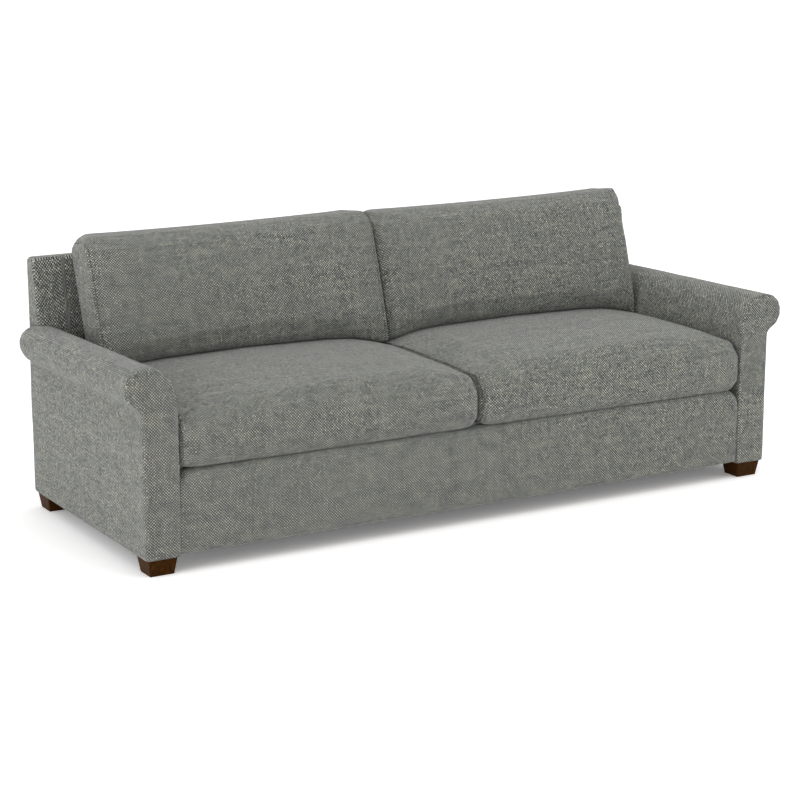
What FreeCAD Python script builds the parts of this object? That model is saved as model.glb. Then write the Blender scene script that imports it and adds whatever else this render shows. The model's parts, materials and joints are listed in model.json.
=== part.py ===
# A two-seat-cushion fabric sofa with rolled arms on four tapered wooden feet.
# Inside: a hardwood seat frame with woven webbing, two plywood arms and a post-and-rail back.
# Outside: fabric covers over foam and wadding, two loose seat cushions and two loose back cushions.
# X runs across the sofa, -Y is the front, Z is up, and the floor is z = 0. Millimetres.
# The form that takes the most skill is the flared arm: its roll, shoulder and crease are tangent arcs,
# it rises towards the front and closes in a dome at the rear, and every layer inside it follows it.
import FreeCAD, Part
import math
import os

vec = FreeCAD.Vector

# Overall size
overall_width = 2410.0
overall_depth = 915.0
back_height = 820.5
foot_height = 50.0
cushion_overhang = 16.0

# Layers, boards and clearances
fit_gap = 0.3
cover_thickness = 2.0
wall_overrun = 10.0
board_thickness = 22.0
ply_thickness = 18.0
hardboard_thickness = 4.0
dust_cover_thickness = 1.0
dust_cover_setback = 36.0
least_radius = 1.0
flat_tolerance = 1e-7
round_steps = 3
inner_chords = 1
hem_chords = 3
corner_share = 0.48

# Arm
arm_width = 114.0
arm_height = 616.0
arm_front_rise = 16.0
arm_padding_thickness = 10.0
roll_overhang = 54.0
roll_radius = 62.5
crease_radius = 15.0
shoulder_width = 96.0
shoulder_radius = 294.0
shoulder_turn = math.radians(18.0)
arm_front_radius = 16.0
arm_rear_radius = 10.0
arm_inner_hem_radius = 14.0
arm_outer_hem_radius = 18.0
dome_length = 100.0
dome_depth = 40.0
dome_angles = [math.radians(angle) for angle in (0.0, 20.0, 40.0, 60.0, 78.0, 90.0)]
inner_dome_angles = [math.radians(angle) for angle in (0.0, 70.0, 90.0)]
arm_chords = (1, 3, 6, 2, 1, 1)
arm_cover_chords = (0, 0, 0, 0, hem_chords, hem_chords)
hem_width = 25.0
arm_top_board_width = 70.0
arm_top_board_drop = 31.0
arm_top_board_thickness = 20.0
roll_board_thickness = 20.0
roll_board_reach = 42.0
roll_board_half_height = 25.0
arm_panel_drop = 160.0

# Front rail
rail_top = 312.0
rail_depth = 60.0
rail_bottom_lift = 5.0
rail_padding_thickness = 20.0
rail_top_front_radius = 26.0
rail_top_rear_radius = 12.0
rail_hem_radius = 12.0
rail_end_radius = 45.0
rail_board_drop = 26.0

# Seat frame, webbing and deck
side_rail_height = 105.0
centre_rail_width = 24.0
centre_rail_drop = 16.0
corner_block_leg = 90.0
corner_block_height = 60.0
strap_width = 60.0
strap_thickness = 2.0
strap_flat_margin = 6.0
straps_along = 10
straps_across = 3
deck_lift = 4.0
deck_cloth_thickness = 1.2

# Back
back_side_inset = 63.0
back_top_depth = 52.0
back_lean = math.radians(10.6)
back_padding_thickness = 20.0
back_end_radius = 12.0
back_top_radius = 11.0
back_top_padding = 10.0
top_rail_height = 30.0
lower_rail_lift = 14.0
lower_rail_height = 50.0
bottom_rail_height = 95.0
back_bays = 3
ear_board_depth = 28.0
ear_drop = 56.0
back_strap_width = 50.0
back_straps_per_bay = 4
back_strap_margin = 40.0

# Feet
foot_width = 78.0
foot_depth = 72.0
foot_taper = 8.0
foot_inset_x = 17.7
foot_inset_y = 17.0
foot_edge = 2.0
bolt_radius = 4.0
bolt_in_foot = 34.0
bolt_in_frame = 22.0

# Seat cushions
cushion_split = 2.0
seat_thickness = 166.0
seat_crown = 55.0
seat_front_drop = 30.0
seat_rear_drop = 20.0
seat_crown_setback = 357.5
seat_crown_radius = 3660.0
seat_side_round = 11.0
seat_end_drop_share = 0.5
seat_nose_radius = 42.0
seat_bottom_radius = 27.0
seat_rear_radius = 25.0
seat_plan_radius = 32.0
seat_core_wrap = 26.0
seat_core_top_wrap = 36.0
seat_back_space = 3.0

# Back cushions
back_cushion_arm_gap = 6.7
back_cushion_rise = 91.5
back_cushion_foot_depth = 215.0
back_cushion_sink = 17.5
back_cushion_lean = math.radians(17.3)
back_cushion_top_depth = 150.0
back_cushion_crown = 26.0
back_cushion_rear_crown = 74.0
back_cushion_top_radius = 46.0
back_cushion_rear_radius = 40.0
back_cushion_end_radius = 42.0
back_cushion_side_round = 18.0
back_cushion_crown_radius = 1830.0
back_cushion_rest_radius = 915.0
back_cushion_mid_share = 0.42
back_cushion_end_crown_share = 0.25
back_cushion_rest_draw_share = 0.25
crown_power = 2.5
crown_steps_share = (0.05, 0.18)

# Zips
zip_width = 14.0
zip_end_margin = 140.0
zip_lift = 42.0

# Places that follow from the sizes above
rear_y = overall_depth / 2
nose_y = -overall_depth / 2
front_y = nose_y + cushion_overhang
base_z = foot_height + dust_cover_thickness
frame_z = base_z + cover_thickness + fit_gap
arm_outer_x = overall_width / 2 - roll_overhang
arm_inner_x = arm_outer_x - arm_width
roll_centre_x = overall_width / 2 - roll_radius
dome_y = rear_y - dome_length
arm_cavity = cover_thickness + arm_padding_thickness
seat_half_width = arm_inner_x - fit_gap
back_half_width = overall_width / 2 - back_side_inset
back_cushion_half_width = seat_half_width - back_cushion_arm_gap
back_top_front_y = rear_y - back_top_depth
deck_level = rail_top + deck_lift
cushion_floor = deck_level + deck_cloth_thickness + fit_gap
lower_rail_bottom = deck_level + lower_rail_lift
ear_floor = arm_height - ear_drop
rail_board_top = rail_top - rail_board_drop
rail_rear_y = front_y + rail_depth
rail_board_front = front_y + cover_thickness + rail_padding_thickness
rail_board_rear = rail_board_front + board_thickness
webbing_depth = 2 * strap_thickness + fit_gap
webbing_top = rail_board_top + webbing_depth


def back_face_y(z):
    """Y of the leaning inside face of the back at height z."""
    return back_top_front_y - (back_height - z) * math.tan(back_lean)


deck_rear_y = back_face_y(webbing_top)
seat_crown_y = nose_y + seat_crown_setback
back_cushion_top = back_height + back_cushion_rise
back_cushion_foot_z = cushion_floor + seat_thickness - back_cushion_sink
back_cushion_foot_y = back_face_y(back_cushion_foot_z) - back_cushion_foot_depth
back_layers = (cover_thickness + back_padding_thickness + strap_thickness + 2 * fit_gap) / math.cos(back_lean)


def post_face_y(z):
    """Y of the front face of the back posts and rails at height z."""
    return back_face_y(z) + back_layers


def box(x0, x1, y0, y1, z0, z1):
    """Block between two corners."""
    return Part.makeBox(x1 - x0, y1 - y0, z1 - z0, vec(x0, y0, z0))


def plate(points, x0, x1):
    """Plate with a (y, z) outline between two X planes."""
    ring = [vec(x0, y, z) for y, z in points]
    face = Part.Face(Part.makePolygon(ring + ring[:1]))
    return face.extrude(vec(x1 - x0, 0, 0))


def mirrored(shape):
    """The same piece on the other side of the sofa."""
    return shape.mirror(vec(0, 0, 0), vec(1, 0, 0))


def save(name, *solids):
    """Write one node's solids to its STEP file."""
    shape = solids[0] if len(solids) == 1 else Part.makeCompound(solids)
    shape.exportStep(os.path.join("parts", name + ".step"))


def save_pair(name, left):
    """Write a left piece and its mirror image."""
    save(name + "_left", left)
    save(name + "_right", mirrored(left))


def turn_edges(start, middle, end, chords):
    """One arc through three points, or that many chords of it on a hidden inner face."""
    arc = Part.Arc(start, middle, end).toShape()
    if not chords:
        return [arc]
    points = [start] + arc.discretize(chords + 1)[1:-1] + [end]
    return [Part.LineSegment(a, b).toShape() for a, b in zip(points, points[1:])]


def rounded_wire(x, corners, hidden):
    """Closed wire in the plane at x through corners of y, z, radius and chords, 0 chords being an arc."""
    count = len(corners)
    points = [vec(x, y, z) for y, z, radius, chords in corners]
    sides = [points[(i + 1) % count] - points[i] for i in range(count)]
    arcs = []
    for i, (y, z, radius, chords) in enumerate(corners):
        before = sides[i - 1]
        after = sides[i]
        turn = before.getAngle(after)
        room = corner_share * min(before.Length, after.Length)
        reach = min(radius * math.tan(turn / 2), room)
        arc_radius = reach / math.tan(turn / 2)
        into = vec(before).normalize()
        out = vec(after).normalize()
        inward = (out - into).normalize()
        middle = points[i] + inward * (arc_radius / math.cos(turn / 2) - arc_radius)
        arcs.append((points[i] - into * reach, middle, points[i] + out * reach, chords))
    edges = []
    for i, (start, middle, end, chords) in enumerate(arcs):
        edges += turn_edges(start, middle, end, inner_chords if hidden else chords)
        edges.append(Part.LineSegment(end, arcs[(i + 1) % count][0]).toShape())
    return Part.Wire(edges)


def faceted_loft(wires):
    """Loft with flat faces through closed wires of straight edges, for feet and hidden inner faces."""
    rings = [[vertex.Point for vertex in wire.OrderedVertexes] for wire in wires]
    count = len(rings[0])
    faces = [Part.Face(wires[0]), Part.Face(wires[-1])]
    for ring, after in zip(rings, rings[1:]):
        centre = sum(ring + after, vec()) / (2 * count)
        for i in range(count):
            j = (i + 1) % count
            quad = [ring[i], ring[j], after[j], after[i]]
            normal = (quad[1] - quad[0]).cross(quad[2] - quad[0]).normalize()
            if abs(normal.dot(quad[3] - quad[0])) < flat_tolerance:
                polygons = [quad]
            else:
                out = (quad[2] - quad[0]).cross(quad[3] - quad[1])
                lift = (quad[0] + quad[2] - quad[1] - quad[3]).dot(out) * out.dot(quad[0] - centre)
                if lift > 0:
                    quad = quad[1:] + quad[:1]
                polygons = [quad[:3], quad[2:] + quad[:1]]
            faces += [Part.Face(Part.makePolygon(points + points[:1])) for points in polygons]
    shell = Part.makeShell(faces)
    shell.sewShape()
    solid = Part.makeSolid(shell)
    if solid.Volume < 0:
        solid.reverse()
    return solid


def layer_loft(wires, hidden):
    """Ruled loft, or one with flat faces where it only makes hidden inner faces."""
    return faceted_loft(wires) if hidden else Part.makeLoft(wires, True, True)


def quarter_round(radius):
    """Depth and inset pairs down a quarter round, from the face to the side."""
    pairs = []
    for step in range(round_steps):
        angle = math.pi / 2 * step / (round_steps - 1)
        pairs.append((radius * (1 - math.cos(angle)), radius * (1 - math.sin(angle))))
    return pairs


def end_inset(depth, radius):
    """Inset of a quarter round at a depth behind its face."""
    short = max(radius - depth, 0)
    return radius - math.sqrt(radius ** 2 - short ** 2)


def arm_wire(y, inset, sink, hidden):
    """Left arm's outline in the plane at y, inset by a layer, with its roll sunk by the rear dome."""
    rise = arm_front_rise * min(max((dome_y - y) / (dome_y - front_y), 0), 1)
    top = arm_height + rise - sink
    roll = roll_radius - sink
    roll_centre_z = top - roll
    crease_x = arm_outer_x + crease_radius
    crease_drop = math.sqrt((roll + crease_radius) ** 2 - (crease_x - roll_centre_x) ** 2)
    crease_z = roll_centre_z - crease_drop
    top_x = arm_inner_x + shoulder_width
    small_radius = shoulder_radius - (shoulder_radius - shoulder_width) / math.cos(shoulder_turn)
    small_z = top - small_radius
    large_x = arm_inner_x + shoulder_radius
    large_z = small_z - (shoulder_radius - small_radius) * math.sin(shoulder_turn)
    inner_hem = max(arm_inner_hem_radius - inset, least_radius)
    outer_hem = max(arm_outer_hem_radius - inset, least_radius)
    bottom = base_z + inset
    inner = arm_inner_x + inset
    outer = arm_outer_x - inset

    def on_arc(centre_x, centre_z, radius, angle):
        return centre_x + radius * math.cos(angle), centre_z + radius * math.sin(angle)

    meet = math.atan2(crease_z - roll_centre_z, crease_x - roll_centre_x)
    big = shoulder_radius - inset
    small = small_radius - inset
    turn = math.pi - shoulder_turn
    roll_arc = roll - inset
    crease_arc = crease_radius + inset
    steps = [
        ("line", (inner, large_z)),
        ("arc", on_arc(large_x, large_z, big, math.pi - shoulder_turn / 2),
         on_arc(large_x, large_z, big, turn)),
        ("arc", on_arc(top_x, small_z, small, (turn + math.pi / 2) / 2), (top_x, top - inset)),
        ("line", (roll_centre_x, top - inset)),
        ("arc", on_arc(roll_centre_x, roll_centre_z, roll_arc, (meet + math.pi / 2) / 2),
         on_arc(roll_centre_x, roll_centre_z, roll_arc, meet)),
        ("arc", on_arc(crease_x, crease_z, crease_arc, math.pi + meet / 2), (outer, crease_z)),
        ("line", (outer, bottom + outer_hem)),
        ("arc", on_arc(outer - outer_hem, bottom + outer_hem, outer_hem, -math.pi / 4),
         (outer - outer_hem, bottom)),
        ("line", (inner + inner_hem, bottom)),
        ("arc", on_arc(inner + inner_hem, bottom + inner_hem, inner_hem, -3 * math.pi / 4),
         (inner, bottom + inner_hem)),
    ]
    here = vec(-inner, y, bottom + inner_hem)
    chords = iter(arm_chords if hidden else arm_cover_chords)
    edges = []
    for kind, *places in steps:
        points = [vec(-px, y, pz) for px, pz in places]
        if kind == "line":
            edges.append(Part.LineSegment(here, points[0]).toShape())
        else:
            edges += turn_edges(here, points[0], points[1], next(chords))
        here = points[-1]
    return Part.Wire(edges)


def arm_form(inset):
    """Left arm's whole form, inset by the layers outside it."""
    wires = []
    for depth, more in quarter_round(max(arm_front_radius - inset, least_radius)):
        wires.append(arm_wire(front_y + inset + depth, inset + more, 0, inset > 0))
    rear_radius = max(arm_rear_radius - inset, least_radius)
    for angle in (inner_dome_angles if inset > 0 else dome_angles):
        y = dome_y + (dome_length - inset) * math.sin(angle)
        more = end_inset(rear_y - inset - y, rear_radius)
        wires.append(arm_wire(y, inset + more, dome_depth * (1 - math.cos(angle)), inset > 0))
    return layer_loft(wires, inset > 0)


def make_arm():
    """Cover, padding and the frame boards of each arm."""
    shell = arm_form(0).cut(arm_form(cover_thickness))
    window = box(-arm_outer_x + hem_width, -arm_inner_x - hem_width, front_y + hem_width, rear_y - hem_width,
                 0, base_z + wall_overrun)
    save_pair("arm_cover", shell.cut(window))

    cavity = arm_form(arm_cavity)
    below = box(-arm_outer_x, -arm_inner_x, front_y, rear_y, 0, base_z + arm_cavity + wall_overrun)
    open_bottom = below.common(box(-arm_outer_x + arm_cavity, -arm_inner_x - arm_cavity, front_y + arm_cavity,
                                   rear_y - arm_cavity, 0, base_z + arm_cavity + wall_overrun))
    padding = arm_form(cover_thickness + fit_gap).cut(cavity).cut(open_bottom)
    save_pair("arm_padding", padding)

    base_inset = arm_outer_hem_radius + fit_gap
    board_top = frame_z + board_thickness
    base = box(-arm_outer_x + base_inset, -arm_inner_x - base_inset, front_y + base_inset,
               rear_y - base_inset, frame_z, board_top)
    for hole in bolt_cores(fit_gap):
        base = base.cut(hole)
    save_pair("arm_base_board", base)

    space = arm_form(arm_cavity + fit_gap)
    front_face = front_y + arm_cavity + fit_gap
    front_back = front_face + ply_thickness
    rear_face = dome_y - ply_thickness
    wide = overall_width / 2
    above = back_height
    save_pair("arm_front_board", space.common(box(-wide, 0, front_face, front_back, board_top, above)))
    save_pair("arm_rear_board", space.common(box(-wide, 0, rear_face, dome_y, board_top, above)))

    outer = -arm_outer_x + arm_cavity + fit_gap
    inner = -arm_inner_x - arm_cavity - fit_gap
    panel_top = arm_height - arm_panel_drop
    save_pair("arm_outer_panel", box(outer, outer + hardboard_thickness, front_back, rear_face,
                                     board_top, panel_top))
    save_pair("arm_inner_panel", box(inner - hardboard_thickness, inner, front_back, rear_face,
                                     board_top, panel_top))
    top_z = arm_height - arm_top_board_drop
    top_x = -arm_inner_x - shoulder_width / 2
    save_pair("arm_top_board", box(top_x - arm_top_board_width, top_x, front_back, rear_face,
                                   top_z - arm_top_board_thickness, top_z))
    roll_z = arm_height - roll_radius
    roll_x = -roll_centre_x - roll_board_reach
    save_pair("arm_roll_board", box(roll_x, roll_x + roll_board_thickness, front_back, rear_face,
                                    roll_z + arm_front_rise - roll_board_half_height,
                                    roll_z + roll_board_half_height))


def rail_form(inset):
    """Front rail's pillowy form between the arms, its top corners rounded at each end."""
    end = seat_half_width - inset
    wires = []
    for side in (-1, 1):
        stations = quarter_round(rail_end_radius - inset)
        for depth, drop in (stations if side < 0 else reversed(stations)):
            low = base_z + rail_bottom_lift + inset
            high = rail_top - inset - drop
            near = front_y + inset
            far = rail_rear_y - inset
            hem = max(rail_hem_radius - inset, least_radius)
            corners = [
                (near, low, hem, hem_chords),
                (far, low, hem, hem_chords),
                (far, high, max(rail_top_rear_radius - inset, least_radius), 0),
                (near, high, max(rail_top_front_radius - inset, least_radius), 0),
            ]
            wires.append(rounded_wire(side * (end - depth), corners, inset > 0))
    return layer_loft(wires, inset > 0)


def make_front_rail():
    """Board, padding and cover of the front rail."""
    wide = overall_width / 2
    board_half = seat_half_width - cover_thickness - fit_gap - rail_padding_thickness
    board = box(-board_half, board_half, rail_board_front, rail_board_rear, frame_z + rail_bottom_lift,
                rail_board_top)
    save("front_rail_board", board)
    behind = box(-wide, wide, rail_board_rear, rear_y, 0, webbing_top + fit_gap)
    under = box(-wide, wide, rail_board_front + fit_gap, rear_y, 0, base_z + rail_bottom_lift + wall_overrun)
    cover = rail_form(0).cut(rail_form(cover_thickness)).cut(behind).cut(under)
    save("front_rail_cover", cover)
    slot = box(-board_half - fit_gap, board_half + fit_gap, rail_board_front - fit_gap,
               rail_board_rear, 0, webbing_top + fit_gap)
    save("front_rail_padding", rail_form(cover_thickness + fit_gap).cut(behind).cut(slot))


def strap(levels, centres, start, end, half, across):
    """One webbing strap that rises over some crossing straps and dips under the others."""
    reach = strap_width / 2 + strap_flat_margin
    low = rail_board_top
    high = low + strap_thickness + fit_gap
    line = [(start, low)]
    for centre, lifted in zip(centres, levels):
        z = high if lifted else low
        line.append((centre - reach, z))
        line.append((centre + reach, z))
    line.append((end, low))
    upper = [(s, z + strap_thickness) for s, z in reversed(line)]
    ring = [vec(0, s, z) for s, z in line + upper]
    if across:
        ring = [vec(p.y, 0, p.z) for p in ring]
    face = Part.Face(Part.makePolygon(ring + ring[:1]))
    run = vec(0, 1, 0) if across else vec(1, 0, 0)
    solid = face.extrude(run * strap_width)
    solid.translate(run * (half - strap_width / 2))
    return solid


def make_webbing(rear_rail_front):
    """Seat webbing woven over and under, stapled down on the four rails."""
    bay_x = 2 * (seat_half_width - board_thickness)
    pitch_x = bay_x / straps_along
    xs = [-bay_x / 2 + pitch_x * (i + 1 / 2) for i in range(straps_along)]
    bay_y = rear_rail_front - rail_board_rear
    pitch_y = bay_y / straps_across
    ys = [rail_board_rear + pitch_y * (i + 1 / 2) for i in range(straps_across)]
    along = []
    for i, x in enumerate(xs):
        levels = [(i + j) % 2 == 0 for j in range(straps_across)]
        along.append(strap(levels, ys, rail_board_front, deck_rear_y - fit_gap, x, False))
    across = []
    for j, y in enumerate(ys):
        levels = [(i + j) % 2 == 1 for i in range(straps_along)]
        across.append(strap(levels, xs, -seat_half_width, seat_half_width, y, True))
    save("seat_webbing_along", *along)
    save("seat_webbing_across", *across)


def make_seat_frame():
    """Rails, corner blocks, webbing and deck between the arms."""
    rear_rail_front = deck_rear_y - fit_gap - board_thickness
    low = rail_board_top - side_rail_height
    rail_inner = seat_half_width - board_thickness
    save_pair("seat_side_rail", box(-seat_half_width, -rail_inner, rail_board_rear, rear_rail_front, low,
                                    rail_board_top))
    save("seat_rear_rail", box(-seat_half_width, seat_half_width, rear_rail_front, deck_rear_y - fit_gap,
                               frame_z, rail_board_top))
    save("centre_support_rail", box(-centre_rail_width / 2, centre_rail_width / 2, rail_board_rear,
                                    rear_rail_front, low, rail_board_top - centre_rail_drop))
    blocks = []
    for side in (-1, 1):
        for y, way in ((rail_board_rear, 1), (rear_rail_front, -1)):
            corner = vec(side * rail_inner, y, low)
            ring = [corner, corner - vec(side * corner_block_leg, 0, 0),
                    corner + vec(0, way * corner_block_leg, 0)]
            face = Part.Face(Part.makePolygon(ring + ring[:1]))
            blocks.append(face.extrude(vec(0, 0, corner_block_height)))
    save("corner_blocks", *blocks)
    make_webbing(rear_rail_front)
    deck_front = rail_rear_y + fit_gap
    save("deck_pad", box(-seat_half_width, seat_half_width, deck_front, deck_rear_y - fit_gap,
                         webbing_top + fit_gap, deck_level))
    save("deck_cloth", box(-seat_half_width, seat_half_width, deck_front, deck_rear_y - fit_gap,
                           deck_level, deck_level + deck_cloth_thickness))


def back_form(inset, bottom):
    """Back's form from side to side: upright behind, leaning inside, rounded at its ends."""
    slant = inset / math.cos(back_lean)
    wires = []
    for side in (-1, 1):
        stations = quarter_round(max(back_end_radius - inset, least_radius))
        for depth, more in (stations if side < 0 else reversed(stations)):
            high = back_height - inset - more
            near = back_face_y(high) + slant + more
            corners = [
                (back_face_y(bottom) + slant + more, bottom, least_radius, 1),
                (rear_y - inset - more, bottom, least_radius, 1),
                (rear_y - inset - more, high, max(back_top_radius - inset, least_radius), 0),
                (near, high, max(back_top_radius - inset, least_radius), 0),
            ]
            x = side * (back_half_width - inset - depth)
            wires.append(rounded_wire(x, corners, inset > 0))
    return layer_loft(wires, inset > 0)


def clear_of_arms(shape):
    """The shape with the arms and the space beside their rear ends taken away."""
    left_arm = arm_form(-fit_gap)
    left_block = box(-overall_width, -seat_half_width, front_y, rear_y + wall_overrun, 0, ear_floor)
    for piece in (left_arm, left_block):
        shape = shape.cut(piece).cut(mirrored(piece))
    return shape


def bays():
    """X ranges between the back posts."""
    half = board_thickness / 2
    pitch = 2 * (seat_half_width - half) / back_bays
    edges = [-seat_half_width + half + pitch * i for i in range(back_bays + 1)]
    return [(left + half, right - half) for left, right in zip(edges, edges[1:])]


def make_back():
    """Cover, padding, posts, rails, webbing and ear boards of the back."""
    wide = overall_width / 2
    rear_inside = rear_y - cover_thickness - fit_gap
    shell = back_form(0, base_z).cut(back_form(cover_thickness, base_z - wall_overrun))
    seat_space = box(-wide, wide, front_y, rear_y - hem_width, 0, webbing_top + fit_gap)
    save("back_cover", clear_of_arms(shell.cut(seat_space)))

    rail_top_z = back_height - cover_thickness - back_top_padding
    rail_low_z = rail_top_z - top_rail_height
    pad_low = webbing_top + fit_gap
    pad_near = (cover_thickness + fit_gap) / math.cos(back_lean)
    pad_far = pad_near + back_padding_thickness / math.cos(back_lean)
    pad_half = back_half_width - cover_thickness - fit_gap - back_end_radius
    pad_high = rail_top_z
    pad = plate([(back_face_y(pad_low) + pad_near, pad_low), (back_face_y(pad_low) + pad_far, pad_low),
                 (back_face_y(pad_high) + pad_far, pad_high), (back_face_y(pad_high) + pad_near, pad_high)],
                -pad_half, pad_half)
    save("back_padding", clear_of_arms(pad))

    post_ring = [
        (deck_rear_y, frame_z), (rear_inside, frame_z), (rear_inside, rail_low_z),
        (post_face_y(rail_low_z), rail_low_z), (post_face_y(webbing_top), webbing_top),
        (deck_rear_y, webbing_top),
    ]
    post_lefts = [-seat_half_width] + [right for left, right in bays()]
    save("back_posts", *[plate(post_ring, left, left + board_thickness) for left in post_lefts])

    top_rail = plate([(post_face_y(rail_low_z), rail_low_z), (rear_inside, rail_low_z),
                      (rear_inside, rail_top_z), (post_face_y(rail_top_z), rail_top_z)], -pad_half, pad_half)
    save("back_top_rail", top_rail)

    low = lower_rail_bottom
    high = lower_rail_bottom + lower_rail_height
    lower_ring = [(post_face_y(low), low), (post_face_y(low) + board_thickness, low),
                  (post_face_y(high) + board_thickness, high), (post_face_y(high), high)]
    save("back_lower_rails", *[plate(lower_ring, left, right) for left, right in bays()])
    save("back_bottom_rails", *[box(left, right, rear_inside - board_thickness, rear_inside, frame_z,
                                    frame_z + bottom_rail_height) for left, right in bays()])

    strap_low = lower_rail_bottom
    strap_high = rail_top_z
    strap_near = strap_thickness / math.cos(back_lean)
    strap_ring = [(post_face_y(strap_low) - strap_near, strap_low), (post_face_y(strap_low), strap_low),
                  (post_face_y(strap_high), strap_high), (post_face_y(strap_high) - strap_near, strap_high)]
    straps = []
    for left, right in bays():
        pitch = (right - left - 2 * back_strap_margin - back_strap_width) / (back_straps_per_bay - 1)
        for i in range(back_straps_per_bay):
            x = left + back_strap_margin + pitch * i
            straps.append(plate(strap_ring, x, x + back_strap_width))
    save("back_webbing", *straps)

    ear = box(-pad_half, -pad_half + board_thickness, rear_inside - ear_board_depth, rear_inside, ear_floor,
              rail_low_z)
    ear = ear.cut(arm_form(-fit_gap))
    save("back_ear_boards", ear, mirrored(ear))


def foot_centres():
    """Centres of the four feet in plan, left ones first."""
    x = arm_outer_x - foot_inset_x - foot_width / 2
    front = front_y + foot_inset_y + foot_depth / 2
    rear = rear_y - foot_inset_y - foot_depth / 2
    return [(-x, front), (-x, rear), (x, front), (x, rear)]


def bolt_cores(clearance):
    """The four hanger bolts, or their holes with a clearance."""
    low = foot_height - bolt_in_foot
    height = bolt_in_foot + frame_z - foot_height + bolt_in_frame
    return [Part.makeCylinder(bolt_radius + clearance, height, vec(x, y, low)) for x, y in foot_centres()]


def foot(x, y):
    """Square wooden foot that tapers to the floor, with its upright edges eased."""
    def ring(half_x, half_y, z):
        short_x = half_x - foot_edge
        short_y = half_y - foot_edge
        outline = [(-short_x, -half_y), (short_x, -half_y), (half_x, -short_y), (half_x, short_y),
                   (short_x, half_y), (-short_x, half_y), (-half_x, short_y), (-half_x, -short_y)]
        corners = [vec(x + px, y + py, z) for px, py in outline]
        return Part.makePolygon(corners + corners[:1])
    low = ring(foot_width / 2, foot_depth / 2, 0)
    high = ring(foot_width / 2 + foot_taper, foot_depth / 2 + foot_taper, base_z)
    return faceted_loft([low, high])


def make_base():
    """Feet, their hanger bolts and the dust cover under the frame."""
    names = ("foot_front_left", "foot_rear_left", "foot_front_right", "foot_rear_right")
    for name, hole, (x, y) in zip(names, bolt_cores(fit_gap), foot_centres()):
        save(name, foot(x, y).cut(hole))
    save("foot_bolts", *bolt_cores(0))
    half = arm_outer_x - arm_outer_hem_radius
    sheet = box(-half, half, front_y + dust_cover_setback, rear_y - arm_rear_radius, foot_height, base_z)
    reach_x = foot_width / 2 + foot_taper + fit_gap
    reach_y = foot_depth / 2 + foot_taper + fit_gap
    for x, y in foot_centres():
        sheet = sheet.cut(box(x - reach_x, x + reach_x, y - reach_y, y + reach_y, 0, base_z))
    save("dust_cover", sheet)


def crown_at(x, left, right):
    """Share of the full crown at x, none at the two ends and all of it in the middle."""
    across = abs(2 * x - left - right) / (right - left)
    return math.sqrt(max(1 - across ** crown_power, 0))


def cushion_stations(left, right, radius):
    """X places of a cushion's sections with how far each is inset by the rounding of the ends."""
    near = [(left + depth, inset) for depth, inset in quarter_round(radius)]
    width = right - left
    inner = [(left + radius + width * share, 0) for share in crown_steps_share]
    middle = [((left + right) / 2, 0)]
    far = [(left + right - x, inset) for x, inset in reversed(near + inner)]
    return near + inner + middle + far


def eased(end_share, crown):
    """Share that grows from end_share at the ends of a cushion to all of it in the middle."""
    return end_share + (1 - end_share) * crown


def seat_form(inset, squared=False):
    """Left seat cushion: flat below, crowned above, its nose and ends rounded, or its corners left square."""
    left = -seat_half_width
    right = -cushion_split / 2
    wires = []
    for x, more in cushion_stations(left + inset, right - inset, seat_plan_radius):
        crown = crown_at(x, left + inset, right - inset)
        side = more * seat_side_round / seat_plan_radius
        drop_share = eased(seat_end_drop_share, crown)
        near = nose_y + inset + more
        far = back_face_y(cushion_floor) - seat_back_space - inset - more
        low = cushion_floor + inset + side
        top = cushion_floor + seat_thickness - inset - side + seat_crown * crown
        corners = [
            (near, low, seat_bottom_radius, 0),
            (far, low, seat_rear_radius, hem_chords),
            (far, top - seat_rear_drop * drop_share, seat_rear_radius, hem_chords),
            (seat_crown_y, top, seat_crown_radius, 0),
            (near, top - seat_front_drop * drop_share, seat_nose_radius, 0),
        ]
        if squared:
            corners = [(y, z, least_radius, 1) for y, z, radius, chords in corners]
        wires.append(rounded_wire(x, corners, inset > 0))
    return layer_loft(wires, inset > 0)


def back_cushion_form(inset):
    """Left back cushion before its foot is fitted to the seat: leaning, crowned in front and behind."""
    left = -back_cushion_half_width
    right = -cushion_split / 2
    lean = math.tan(back_cushion_lean)
    slant = inset / math.cos(back_cushion_lean)
    wires = []
    for x, more in cushion_stations(left + inset, right - inset, back_cushion_end_radius):
        crown = crown_at(x, left + inset, right - inset)
        side = more * back_cushion_side_round / back_cushion_end_radius
        low = back_cushion_foot_z + inset
        high = back_cushion_top - inset - more
        rest = back_height - back_top_radius
        face = back_cushion_foot_y + slant + side
        front_high = face + (high - low) * lean
        mid = low + (high - low) * back_cushion_mid_share
        mid_face = face + (mid - low) * lean - back_cushion_crown * eased(back_cushion_end_crown_share, crown)
        draw = back_cushion_rear_crown * (1 - crown)
        support = back_face_y(rest) - fit_gap - slant - side - draw * back_cushion_rest_draw_share
        heel = back_face_y(low) - fit_gap - slant - side - draw
        tail = min(front_high + back_cushion_top_depth - side, support + (high - rest) * lean)
        corners = [
            (face, low, least_radius, 1),
            (heel, low, least_radius, 1),
            (support, rest, back_cushion_rest_radius, 0),
            (tail, high, back_cushion_rear_radius, 0),
            (front_high, high, back_cushion_top_radius, 0),
            (mid_face, mid, back_cushion_crown_radius, 0),
        ]
        wires.append(rounded_wire(x, corners, inset > 0))
    return layer_loft(wires, inset > 0)


def zipped(shell, window, gap_window):
    """Split a cover's wall into the cover and the zip that closes it."""
    return shell.cut(gap_window), shell.common(window)


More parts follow.
